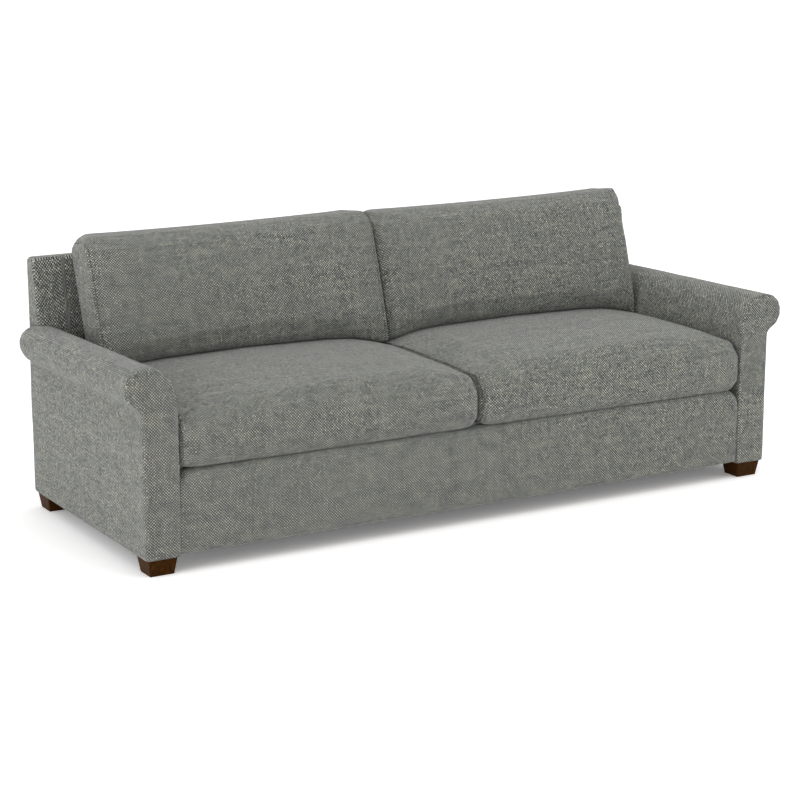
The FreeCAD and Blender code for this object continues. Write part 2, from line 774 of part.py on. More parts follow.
def make_seat_cushions():
    """Cover, zip, wadding wrap and foam core of each seat cushion."""
    shell = seat_form(0).cut(seat_form(cover_thickness))
    left = -seat_half_width + zip_end_margin
    right = -cushion_split / 2 - zip_end_margin
    rear = back_face_y(cushion_floor) - seat_back_space
    z = cushion_floor + seat_thickness / 2
    window = box(left, right, rear - wall_overrun, rear + wall_overrun, z - zip_width / 2, z + zip_width / 2)
    gap_window = box(left - fit_gap, right + fit_gap, rear - wall_overrun, rear + wall_overrun,
                     z - zip_width / 2 - fit_gap, z + zip_width / 2 + fit_gap)
    cover, zip_tape = zipped(shell, window, gap_window)
    save_pair("seat_cushion_cover", cover)
    save_pair("seat_cushion_zip", zip_tape)
    wrap = seat_core_wrap + cover_thickness
    core_left = -seat_half_width + wrap
    core_right = -cushion_split / 2 - wrap
    low = cushion_floor + wrap
    high = cushion_floor + seat_thickness - seat_core_top_wrap
    core = box(core_left, core_right, nose_y + wrap, rear - wrap, low, high)
    pocket = box(core_left - fit_gap, core_right + fit_gap, nose_y + wrap - fit_gap, rear - wrap + fit_gap,
                 low - fit_gap, high + fit_gap)
    save_pair("seat_cushion_core", core)
    save_pair("seat_cushion_wrap", seat_form(cover_thickness + fit_gap).cut(pocket))


def make_back_cushions():
    """Cover, zip and fibre filling of each back cushion."""
    outer = back_cushion_form(0).cut(seat_form(-fit_gap, True))
    inner = back_cushion_form(cover_thickness).cut(seat_form(-fit_gap - cover_thickness, True))
    below = seat_form(-2 * fit_gap - cover_thickness, True)
    filling = back_cushion_form(cover_thickness + fit_gap).cut(below)
    shell = outer.cut(inner)
    left = -back_cushion_half_width + zip_end_margin
    right = -cushion_split / 2 - zip_end_margin
    z = deck_level + seat_thickness + seat_crown + zip_lift
    y = back_face_y(z)
    window = box(left, right, y - hem_width, y + hem_width, z - zip_width / 2, z + zip_width / 2)
    gap_window = box(left - fit_gap, right + fit_gap, y - hem_width, y + hem_width,
                     z - zip_width / 2 - fit_gap, z + zip_width / 2 + fit_gap)
    cover, zip_tape = zipped(shell, window, gap_window)
    save_pair("back_cushion_cover", cover)
    save_pair("back_cushion_zip", zip_tape)
    save_pair("back_cushion_filling", filling)


os.makedirs("parts", exist_ok=True)
make_base()
make_arm()
make_front_rail()
make_seat_frame()
make_back()
make_seat_cushions()
make_back_cushions()
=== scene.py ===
# Looks of a two-cushion fabric sofa with rolled arms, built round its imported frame.
# X runs across the sofa, -Y is the front, Z is up. Metres.
import json
import math
import bpy
import numpy as np
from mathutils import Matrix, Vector
from mathutils.bvhtree import BVHTree

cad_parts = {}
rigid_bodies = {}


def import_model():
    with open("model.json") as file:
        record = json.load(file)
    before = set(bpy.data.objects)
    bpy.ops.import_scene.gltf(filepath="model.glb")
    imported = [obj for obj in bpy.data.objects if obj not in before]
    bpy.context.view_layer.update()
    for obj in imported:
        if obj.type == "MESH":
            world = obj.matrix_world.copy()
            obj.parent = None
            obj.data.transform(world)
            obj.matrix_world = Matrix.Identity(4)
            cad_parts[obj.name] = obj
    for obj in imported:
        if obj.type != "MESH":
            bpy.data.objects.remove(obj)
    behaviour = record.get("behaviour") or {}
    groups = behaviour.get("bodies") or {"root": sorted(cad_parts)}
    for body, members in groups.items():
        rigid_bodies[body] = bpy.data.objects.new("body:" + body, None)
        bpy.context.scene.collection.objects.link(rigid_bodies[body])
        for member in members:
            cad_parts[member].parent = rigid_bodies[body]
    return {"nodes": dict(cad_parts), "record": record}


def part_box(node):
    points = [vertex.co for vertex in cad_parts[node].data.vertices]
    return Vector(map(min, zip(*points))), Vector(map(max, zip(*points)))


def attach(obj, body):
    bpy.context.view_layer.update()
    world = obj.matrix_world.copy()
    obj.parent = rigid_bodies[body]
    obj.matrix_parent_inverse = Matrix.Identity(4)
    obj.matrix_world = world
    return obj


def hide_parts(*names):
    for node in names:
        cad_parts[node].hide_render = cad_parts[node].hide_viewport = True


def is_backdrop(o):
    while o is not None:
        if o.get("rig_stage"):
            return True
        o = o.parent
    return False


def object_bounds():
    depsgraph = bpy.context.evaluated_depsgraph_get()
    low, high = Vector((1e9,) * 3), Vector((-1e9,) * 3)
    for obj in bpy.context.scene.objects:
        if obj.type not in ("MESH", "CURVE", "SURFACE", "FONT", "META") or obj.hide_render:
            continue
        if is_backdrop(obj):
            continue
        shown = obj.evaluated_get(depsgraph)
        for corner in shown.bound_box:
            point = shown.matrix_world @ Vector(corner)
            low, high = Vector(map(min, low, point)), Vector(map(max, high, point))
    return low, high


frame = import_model()
cad_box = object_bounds()

bl_info = {
    "name": "Rolled-arm fabric sofa",
    "version": (1, 0, 0),
    "blender": (4, 5, 0),
    "location": "View3D > Sidebar > Sofa",
    "description": "Upholstery, wood and inner frame of a two-cushion fabric sofa",
    "category": "Add Mesh",
}

CLOTH_MAP = "cloth"
# Point attribute along the seam grooves, where the tweed paints shade into its colour
SEAM_MARK = "seam"
HELD_GROUP = "held"
SIDES = ("left", "right")
SOFT_FINISHES = {"tweed": "woven_tweed", "foam": "cut_foam", "wadding": "polyester_wadding"}
# Share of the mesh size within which points beside an end seam are held
HELD_SHARE = 0.6
CLOTH_FRAMES = 20
# Width of the strips in which cloth is folded over a top, and how many front depths an arm's side cloth runs
CLOTH_STRIP = 0.01
FRONT_BAND = 20
# Distance over which the padding swells and sinks
PADDING_WAVE = 0.16
# How early a point between a cushion's middle and its front moves in full with the front
FRONT_LEAD = 1.6
# How sharply a cushion's seams keep their place: power of the share of the way to its ends
SEAT_STIFFNESS = 6
FOOT_STIFFNESS = 8
FLOOR_GLOW = 0.125
FLOOR_GAIN = 1.3
SKY_LEVEL = 0.80
LAMPS = (
    ("side_lamp", (-6.0, -1.0, 1.2), 3.0, 86),
    ("top_lamp", (0.5, -1.5, 4.5), 4.0, 44),
    ("fill_lamp", (4.6, -4.0, 2.2), 3.0, 18),
)
CAMERA_PLACE = (-3.620, -6.125, 2.017)
CAMERA_YAW = 0.5295
CAMERA_PITCH = 0.2353
CAMERA_LENS = 99.20
CAMERA_SENSOR = 36


def linear(hex_colour):
    """Linear RGB of an sRGB hex colour."""
    channels = [int(hex_colour[i:i + 2], 16) / 255 for i in (0, 2, 4)]
    return tuple(c / 12.92 if c <= 0.04045 else ((c + 0.055) / 1.055) ** 2.4 for c in channels)


def length(name, description, default):
    """A size in metres."""
    return bpy.props.FloatProperty(name=name, description=description, default=default, unit="LENGTH",
                                   precision=4)


def angle(name, description, degrees):
    """An angle, given in degrees."""
    return bpy.props.FloatProperty(name=name, description=description, default=math.radians(degrees),
                                   unit="ROTATION")


def colour(name, description, hex_colour):
    """A colour, given as sRGB hex."""
    return bpy.props.FloatVectorProperty(name=name, description=description, default=linear(hex_colour),
                                         subtype="COLOR", size=3, min=0, max=1)


class SofaArmSizes(bpy.types.PropertyGroup):
    """Sizes of the rolled arms."""
    width: length("Width", "Thickness of the upright panel", 0.114)
    roll_overhang: length("Roll overhang", "How far the roll stands outside the panel", 0.054)
    roll_radius: length("Roll radius", "Radius of the roll", 0.0625)
    crease_radius: length("Crease radius", "Radius of the crease under the roll", 0.020)
    shoulder_width: length("Shoulder width", "Width of the rounded shoulder inside the top", 0.096)
    shoulder_radius: length("Shoulder radius", "Radius of the lower part of the shoulder", 0.294)
    shoulder_turn: angle("Shoulder turn", "Turn of the lower part of the shoulder", 18)
    front_rise: length("Front rise", "How much higher the arm is at its front", 0.016)
    dome_length: length("Dome length", "Length over which the roll closes at the rear", 0.100)
    dome_depth: length("Dome depth", "How far the roll sinks at its rear end", 0.040)
    front_round: length("Front rounding", "Radius of the edge of the front face", 0.006)
    rear_round: length("Rear rounding", "Radius of the edge of the rear face", 0.005)
    hem_round: length("Hem rounding", "Radius of the two lower edges", 0.003)


class SofaBodySizes(bpy.types.PropertyGroup):
    """Sizes of the front rail and the back."""
    rail_front_round: length("Rail front rounding", "Radius of the rail's upper front edge", 0.026)
    rail_rear_round: length("Rail rear rounding", "Radius of the rail's upper rear edge", 0.012)
    rail_end_round: length("Rail end rounding", "Radius of the rail's upper corners", 0.045)
    rail_hem_round: length("Rail hem rounding", "Radius of the rail's lower edges", 0.006)
    back_lean: angle("Back lean", "Lean of the inside face of the back", 10.6)
    back_top_depth: length("Back top depth", "Depth of the back at its top", 0.052)
    back_end_round: length("Back end rounding", "Radius of the upright edges of the back", 0.007)
    back_top_round: length("Back top rounding", "Radius of the upper edges of the back", 0.008)
    ear_floor: length("Ear floor", "Height below which the back stays between the arms", 0.560)
    back_hem: length("Back hem", "Radius of the back's lower edges, and how far its hem hangs", 0.003)
    back_into_arms: length("Back into arms", "How far the back is drawn into the arms", 0.002)
    back_past_posts: length("Back past posts", "How far the back's lower ends wrap past its posts", 0.006)
    back_ease: length("Back ease", "How much the back is drawn larger, which smoothing takes back", 0.006)
    rail_ease: length("Rail ease", "How far the ends of the rail are drawn into the arms", 0.003)
    rail_recess: bpy.props.FloatProperty(name="Rail recess", default=0.22,
                                         description="How far the rail's ends curve back, to their drop")
    rail_lift: length("Rail lift", "How far the hem of the rail stays above its cut edge", 0.003)


class SofaCushionSizes(bpy.types.PropertyGroup):
    """Sizes of the cushions and of the fabric work."""
    seat_grain: length("Seat mesh size", "Voxel size of the seat cushions", 0.0098)
    back_grain: length("Back cushion mesh size", "Voxel size of the back cushions", 0.0083)
    cover_grain: length("Arm mesh size", "Voxel size of the arms and the rail", 0.006)
    panel_grain: length("Back mesh size", "Voxel size of the back", 0.0075)
    seat_swell: length("Seat swell", "Most that a point of a seat cushion moves when it is filled", 0.008)
    back_swell: length("Back cushion swell", "Most that a point of a back cushion moves", 0.004)
    seam_inset: length("Seam inset", "Distance of an end seam from the end of its cushion", 0.009)
    seam_width: length("Seam width", "Width of the groove along a seam", 0.006)
    seam_depth: length("Seam depth", "Depth of the groove along a seam", 0.0022)
    rest_gap: length("Rest gap", "Gap left where two soft pieces press on each other", 0.0006)
    fill_inset: length("Filling inset", "How far the filling lies inside its cover", 0.006)
    fill_grain: length("Filling mesh size", "Voxel size of the filling", 0.016)
    cushion_lean: angle("Cushion lean", "Lean of a back cushion", 17.3)
    foot_drop: length("Foot drop", "How far the foot of a back cushion sinks to reach its seat", 0.030)
    end_reach: length("End reach", "Length over which the end of a back cushion is squared", 0.110)
    edge_rise: length("Edge rise", "How far the end edges of a back cushion come forward", 0.008)
    edge_sink: length("Edge sink", "Radius of the right back cushion's inner upright edge", 0.055)
    end_gap: length("End gap", "How far the right back cushion stays short of its outer end", 0.008)
    top_corner: length("Top corner", "Radius of the left back cushion's outer top corner", 0.045)
    crisp_corner: length("Crisp corner", "Reach of the right back cushion's drawn-out top corner", 0.035)
    top_sag: length("Top sag", "How far the tops of the back cushions sag between their ends", 0.0085)
    front_droop: length("Front droop", "How far a seat cushion's lower edge droops over the rail", 0.012)
    seat_settle: length("Seat settle", "How far the back cushions press the seat down", 0.018)
    settle_reach: length("Settle reach", "Length over which the seat sinks towards the back", 0.250)
    foot_height: length("Foot height", "Height of the rounded foot of a back cushion", 0.080)
    foot_tuck: length("Foot tuck", "How far the foot of a back cushion curves back", 0.040)
    back_seam_inset: length("Back seam inset", "Distance of a back cushion's seam from its end", 0.010)
    unevenness: length("Unevenness", "Height of the gentle unevenness of the padding", 0.0025)
    pressure: bpy.props.FloatProperty(name="Pressure", description="Filling pressure in the simulation",
                                      default=4.0)


class SofaFinish(bpy.types.PropertyGroup):
    """Colours and thread sizes."""
    thread_pitch: length("Thread pitch", "Spacing of the threads of the tweed", 0.0046)
    dark_yarn: colour("Dark yarn", "Darkest yarn of the tweed", "383B3B")
    grey_yarn: colour("Grey yarn", "Main yarn of the tweed", "70736F")
    pale_yarn: colour("Pale yarn", "Pale yarn of the tweed", "A1A39C")
    cream_yarn: colour("Cream yarn", "Cream slubs of the tweed", "D2D1BE")
    wood_dark: colour("Dark wood", "Dark grain of the stained feet", "301A00")
    wood_light: colour("Light wood", "Light grain of the stained feet", "603500")
    floor: colour("Floor", "Floor of the studio", "FFFFFF")


def sizes():
    """The size and colour settings of the scene."""
    scene = bpy.context.scene
    return scene.sofa_arm, scene.sofa_body, scene.sofa_cushion, scene.sofa_finish


def select_only(piece):
    """Makes one object the only selected and the active one."""
    if bpy.context.object and bpy.context.object.mode != "OBJECT":
        bpy.ops.object.mode_set(mode="OBJECT")
    bpy.ops.object.select_all(action="DESELECT")
    piece.select_set(True)
    bpy.context.view_layer.objects.active = piece


def edit(piece):
    """Opens one object in edit mode with all of it selected."""
    select_only(piece)
    bpy.ops.object.mode_set(mode="EDIT")
    bpy.ops.mesh.select_all(action="SELECT")


def modify(piece, kind, **settings):
    """Adds a modifier with its settings and applies it."""
    modifier = piece.modifiers.new(kind.title(), kind)
    for name, value in settings.items():
        setattr(modifier, name, value)
    select_only(piece)
    bpy.ops.object.modifier_apply(modifier=modifier.name)


def read(items, field, parts=1, kind=np.float32):
    """One field of all items of a mesh, as a row for each item where it has parts."""
    values = np.empty(len(items) * parts, kind)
    items.foreach_get(field, values)
    return values.reshape(-1, parts) if parts > 1 else values


def points_of(piece):
    """The corners of a mesh as rows of x, y and z."""
    return read(piece.data.vertices, "co", 3)


def move_points(piece, rows):
    """Puts the corners of a mesh at the given places."""
    piece.data.vertices.foreach_set("co", rows.astype(np.float32).ravel())
    piece.data.update()


def fatten(piece, distance):
    """Moves the surface of a piece outwards, or inwards where the distance is negative."""
    edit(piece)
    bpy.ops.transform.shrink_fatten(value=distance)
    bpy.ops.object.mode_set(mode="OBJECT")


def draw_ring(axis, start, steps, arc_steps):
    """Draws a closed ring in edit mode: a vertex is extruded along lines and spun round arcs."""
    bpy.ops.mesh.primitive_plane_add(size=0.01, location=start)
    bpy.ops.mesh.merge(type="CENTER")
    here = start
    for centre, there, sweep in steps:
        if centre is None:
            bpy.ops.mesh.extrude_region_move(TRANSFORM_OT_translate={"value": there - here})
        else:
            bpy.ops.mesh.spin(steps=arc_steps, angle=-sweep, center=centre, axis=axis)
        here = there


def loft(name, axis, rings, arc_steps=6):
    """A closed form through rings that are drawn one by one, bridged, and filled at both ends."""
    bpy.ops.object.select_all(action="DESELECT")
    bpy.ops.mesh.primitive_plane_add(size=1)
    piece = bpy.context.object
    piece.name = name
    edit(piece)
    bpy.ops.mesh.delete(type="VERT")
    for start, steps in rings:
        draw_ring(axis, start, steps, arc_steps)
    bpy.ops.mesh.select_all(action="SELECT")
    bpy.ops.mesh.remove_doubles(threshold=0.00005)
    bpy.ops.mesh.bridge_edge_loops()
    bpy.ops.mesh.select_all(action="SELECT")
    bpy.ops.mesh.fill_holes(sides=0)
    bpy.ops.mesh.select_all(action="SELECT")
    bpy.ops.mesh.normals_make_consistent(inside=False)
    bpy.ops.object.mode_set(mode="OBJECT")
    return piece


def quarter_round(radius, steps=4):
    """Depth and inset pairs down a quarter round, from the face to the side."""
    turns = [math.pi / 2 * step / (steps - 1) for step in range(steps)]
    return [(radius * (1 - math.cos(turn)), radius * (1 - math.sin(turn))) for turn in turns]


def rounded_ring(x, corners):
    """Start and steps of a ring in the plane at x, through corners of y, z and radius."""
    count = len(corners)
    places = [Vector((x, y, z)) for y, z, radius in corners]
    steps = []
    for i, (y, z, radius) in enumerate(corners):
        into = (places[i] - places[i - 1]).normalized()
        out = (places[(i + 1) % count] - places[i]).normalized()
        turn = math.atan2(into.y * out.z - into.z * out.y, into.dot(out))
        reach = radius * math.tan(abs(turn) / 2)
        side = Vector((0, -into.z, into.y)) * math.copysign(radius, turn)
        begin = places[i] - into * reach
        steps.append((None, begin, 0))
        steps.append((begin + side, places[i] + out * reach, turn))
    start = steps[-1][1]
    return start, steps


def arm_ring(arm, y, inset, sink):
    """Start and steps of the left arm's outline in the plane at y, with its roll sunk by the rear dome."""
    low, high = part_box("arm_cover_left")
    dome_y = high.y - arm.dome_length
    share = min(max((dome_y - y) / (dome_y - low.y), 0), 1)
    top = high.z - arm.front_rise * (1 - share) - sink
    outer = -low.x - arm.roll_overhang
    inner = outer - arm.width
    roll = arm.roll_radius - sink
    roll_x = -low.x - arm.roll_radius
    roll_z = top - roll
    crease_x = outer + arm.crease_radius
    crease_z = roll_z - math.sqrt((roll + arm.crease_radius) ** 2 - (crease_x - roll_x) ** 2)
    top_x = inner + arm.shoulder_width
    small = arm.shoulder_radius - (arm.shoulder_radius - arm.shoulder_width) / math.cos(arm.shoulder_turn)
    small_z = top - small
    large_x = inner + arm.shoulder_radius
    large_z = small_z - (arm.shoulder_radius - small) * math.sin(arm.shoulder_turn)
    meet = math.atan2(crease_z - roll_z, crease_x - roll_x)
    bottom = low.z + inset
    hem = arm.hem_round

    def at(x, z):
        return Vector((-x, y, z))

    def on_arc(x, z, radius, turn):
        return at(x + radius * math.cos(turn), z + radius * math.sin(turn))

    start = at(inner + inset, bottom + hem)
    turned = math.pi - arm.shoulder_turn
    steps = [
        (None, at(inner + inset, large_z), 0),
        (at(large_x, large_z), on_arc(large_x, large_z, arm.shoulder_radius - inset, turned),
         -arm.shoulder_turn),
        (at(top_x, small_z), at(top_x, top - inset), arm.shoulder_turn - math.pi / 2),
        (None, at(roll_x, top - inset), 0),
        (at(roll_x, roll_z), on_arc(roll_x, roll_z, roll - inset, meet), meet - math.pi / 2),
        (at(crease_x, crease_z), at(outer - inset, crease_z), -meet),
        (None, at(outer - inset, bottom + hem), 0),
        (at(outer - inset - hem, bottom + hem), at(outer - inset - hem, bottom), -math.pi / 2),
        (None, at(inner + inset + hem, bottom), 0),
        (at(inner + inset + hem, bottom + hem), start, -math.pi / 2),
    ]
    return start, steps


def arm_form(name):
    """The left arm's whole form: rounded front face, rising roll and domed rear end."""
    arm = sizes()[0]
    low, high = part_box("arm_cover_left")
    rings = []
    for depth, inset in quarter_round(arm.front_round):
        rings.append(arm_ring(arm, low.y + depth, inset, 0))
    dome_y = high.y - arm.dome_length
    for degrees in (0, 15, 30, 45, 60, 72, 82, 90):
        turn = math.radians(degrees)
        y = dome_y + arm.dome_length * math.sin(turn)
        short = max(arm.rear_round - (high.y - y), 0)
        inset = arm.rear_round - math.sqrt(arm.rear_round ** 2 - short ** 2)
        rings.append(arm_ring(arm, y, inset, arm.dome_depth * (1 - math.cos(turn))))
    return loft(name, (0, 1, 0), rings)


def mirror_copy(piece, name):
    """A copy of a piece on the other side of the sofa, with its own mesh."""
    select_only(piece)
    bpy.ops.object.duplicate()
    copy = bpy.context.object
    copy.name = name
    edit(copy)
    bpy.ops.transform.mirror(constraint_axis=(True, False, False), center_override=(0, 0, 0))
    bpy.ops.mesh.normals_make_consistent(inside=False)
    bpy.ops.object.mode_set(mode="OBJECT")
    return copy


def upholster(piece, grain, rounds, unevenness):
    """Turns a drawn form into pulled cloth: even mesh, eased edges and gentle unevenness."""
    modify(piece, "REMESH", mode="VOXEL", voxel_size=grain)
    modify(piece, "SMOOTH", factor=0.5, iterations=rounds)
    clouds = bpy.data.textures.new(piece.name + "_padding", "CLOUDS")
    clouds.noise_scale = PADDING_WAVE
    clouds.noise_depth = 1
    modify(piece, "DISPLACE", texture=clouds, texture_coords="LOCAL", mid_level=0.5, strength=unevenness)


def lay_cloth(piece, turned=False, shift=0.0, front=0.0, lean=0.0):
    """Writes the cloth map in metres, over the front edges without a break, or along Y on top if turned.

    Faces within the front depth take the map of the front face, so that its edge is one clean line, and
    the band behind them never does. The fold is found strip by strip along X, because edges wander."""
    mesh = piece.data
    points = points_of(piece)
    steep = np.abs(read(mesh.polygons, "normal", 3))
    if front:
        deep = read(mesh.polygons, "center", 3)[:, 1] - points[:, 1].min()
        steep[:, 1] = np.where(deep < front, 2, np.where(deep < FRONT_BAND * front, 0, steep[:, 1]))
    facing = np.repeat(steep.argmax(1), read(mesh.polygons, "loop_total", kind=np.int32))
    places = points[read(mesh.loops, "vertex_index", kind=np.int32)]
    along = np.where(facing == 0, places[:, 1], places[:, 0])
    if turned:
        along = np.where(facing == 2, places[:, 1], along)
        across = np.where(facing == 2, places[:, 0], places[:, 2])
    else:
        up = places[:, 1] * math.sin(lean) + places[:, 2] * math.cos(lean)
        back = places[:, 1] * math.cos(lean) - places[:, 2] * math.sin(lean)
        fold = np.where(up > (up.min() + up.max()) / 2, 1, -1)
        strips = ((places[:, 0] - places[:, 0].min()) / CLOTH_STRIP).astype(int)
        foremost = np.full(strips.max() + 1, np.inf)
        topmost = np.full(strips.max() + 1, -np.inf)
        np.minimum.at(foremost, strips, back)
        np.maximum.at(topmost, strips, up)
        middles = places[:, 0].min() + CLOTH_STRIP * (np.arange(len(foremost)) + 0.5)
        deep = back - np.interp(places[:, 0], middles, foremost)
        over = 2 * np.interp(places[:, 0], middles, topmost) - up + deep
        across = np.where(back > (back.min() + back.max()) / 2, over, up + fold * deep)
        across = np.where(facing == 0, places[:, 2], across)
    rows = np.stack([along + shift, across + shift], 1).astype(np.float32)
    layer = mesh.uv_layers.new(name=CLOTH_MAP)
    layer.data.foreach_set("uv", rows.ravel())


def finish_piece(piece, body, node, slot):
    """Smooth shading, finish, body and the node that a padded piece stands for."""
    piece.data.materials.clear()
    piece.data.materials.append(bpy.data.materials[SOFT_FINISHES[slot]])
    select_only(piece)
    bpy.ops.object.shade_smooth()
    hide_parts(node)
    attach(piece, body)


def copy_node(node, name):
    """A merged copy of a node's mesh, without the hollow inside it."""
    select_only(frame["nodes"][node])
    bpy.ops.object.duplicate()
    piece = bpy.context.object
    piece.name = name
    piece.parent = None
    for key in [key for key in piece.keys() if key.startswith("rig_")]:
        del piece[key]
    edit(piece)
    bpy.ops.mesh.remove_doubles(threshold=0.00001)
    bpy.ops.mesh.select_all(action="DESELECT")
    bpy.ops.object.mode_set(mode="OBJECT")
    rows = points_of(piece)
    piece.data.vertices[int(rows[:, 0].argmin())].select = True
    bpy.ops.object.mode_set(mode="EDIT")
    bpy.ops.mesh.select_linked()
    bpy.ops.mesh.select_all(action="INVERT")
    bpy.ops.mesh.delete(type="VERT")
    bpy.ops.object.mode_set(mode="OBJECT")
    return piece


def hold(piece, planes, width):
    """Puts the points near the X planes in the group that the simulation holds still."""
    x = points_of(piece)[:, 0]
    near = np.zeros(len(x), bool)
    for plane in planes:
        near |= np.abs(x - plane) < width
    group = piece.vertex_groups.new(name=HELD_GROUP)
    group.add([int(i) for i in np.flatnonzero(near)], 1.0, "REPLACE")


def fill_cushions(pieces, pressure, reach):
    """Fills the cushions together as cloth under pressure, and caps how far a point moves."""
    scene = bpy.context.scene
    starts = [points_of(piece) for piece in pieces]
    for piece in pieces:
        cloth = piece.modifiers.new("Cloth", "CLOTH")
        cloth.settings.use_pressure = True
        cloth.settings.uniform_pressure_force = pressure
        cloth.settings.effector_weights.gravity = 0
        cloth.settings.vertex_group_mass = HELD_GROUP
        cloth.point_cache.frame_end = CLOTH_FRAMES
    for number in range(1, CLOTH_FRAMES + 1):
        scene.frame_set(number)
    for piece, start in zip(pieces, starts):
        select_only(piece)
        bpy.ops.object.modifier_apply(modifier="Cloth")
        moved = points_of(piece) - start
        travel = np.linalg.norm(moved, axis=1, keepdims=True)
        move_points(piece, start + moved * np.minimum(1, reach / np.maximum(travel, 1e-9)))
    scene.frame_set(1)


def press(piece, place, normal):
    """Presses a soft piece flat on a plane, which its points may not cross along the normal."""
    rows = points_of(piece)
    way = np.array(Vector(normal).normalized())
    past = np.maximum((rows - np.array(place)) @ way, 0)
    move_points(piece, rows - past[:, None] * way)


def sew(piece, x, width, depth):
    """Cuts three loops round a cushion at x, sinks the middle one and marks it as a seam."""
    edit(piece)
    for offset in (-width / 2, width / 2, 0):
        bpy.ops.mesh.select_all(action="SELECT")
        bpy.ops.mesh.bisect(plane_co=(x + offset, 0, 0), plane_no=(1, 0, 0))
    bpy.ops.transform.shrink_fatten(value=-depth)
    bpy.ops.object.mode_set(mode="OBJECT")
    # The mark lets the tweed paint shade into its colour along the groove
    mark = piece.data.attributes.get(SEAM_MARK)
    if mark is None:
        mark = piece.data.attributes.new(SEAM_MARK, "FLOAT", "POINT")
    values = read(mark.data, "value")
    values[read(piece.data.vertices, "select", kind=bool)] = 1
    mark.data.foreach_set("value", values)


def add(tree, kind, sockets=None, stops=None, **settings):
    """Adds a node, sets it up, colours its ramp, fills or links its input sockets, and gives its outputs."""
    node = tree.nodes.new("ShaderNode" + kind)
    for name, value in settings.items():
        setattr(node, name, value)
    for place, tone in stops or ():
        ends = node.color_ramp.elements
        stop = ends[0] if place == 0 else ends[-1] if place == 1 else ends.new(place)
        stop.color = (*tone, 1)
    for socket, value in (sockets or {}).items():
        if isinstance(value, bpy.types.NodeSocket):
            tree.links.new(value, node.inputs[socket])
        else:
            node.inputs[socket].default_value = value
    return node.outputs


def empty_tree(owner):
    """The emptied node tree of a material or a world."""
    owner.use_nodes = True
    owner.node_tree.nodes.clear()
    return owner.node_tree


def seen_rays(tree):
    """1 on the rays that see a background straight, in a reflection or through glass."""
    ray = add(tree, "LightPath")
    seen = add(tree, "Math", {0: ray["Is Camera Ray"], 1: ray["Is Glossy Ray"]}, operation="MAXIMUM")[0]
    return add(tree, "Math", {0: seen, 1: ray["Is Transmission Ray"]}, operation="MAXIMUM")[0]


def new_material(name):
    """An empty node material, its tree and the place on the piece."""
    material = bpy.data.materials.new(name)
    tree = empty_tree(material)
    return material, tree, add(tree, "TexCoord")["Object"]


def surface(tree, tone, pattern, roughness, relief=None, others=None):
    """Ends a material with its tone, a roughness that follows a pattern, a relief and other sockets."""
    rough = add(tree, "MapRange", {"Value": pattern, "To Min": roughness[0], "To Max": roughness[1]})[0]
    sockets = {"Base Color": tone, "Roughness": rough, **(others or {})}
    if relief:
        height, strength, depth = relief
        sockets["Normal"] = add(tree, "Bump", {"Height": height, "Strength": strength, "Distance": depth})[0]
    add(tree, "OutputMaterial", {"Surface": add(tree, "BsdfPrincipled", sockets)[0]})


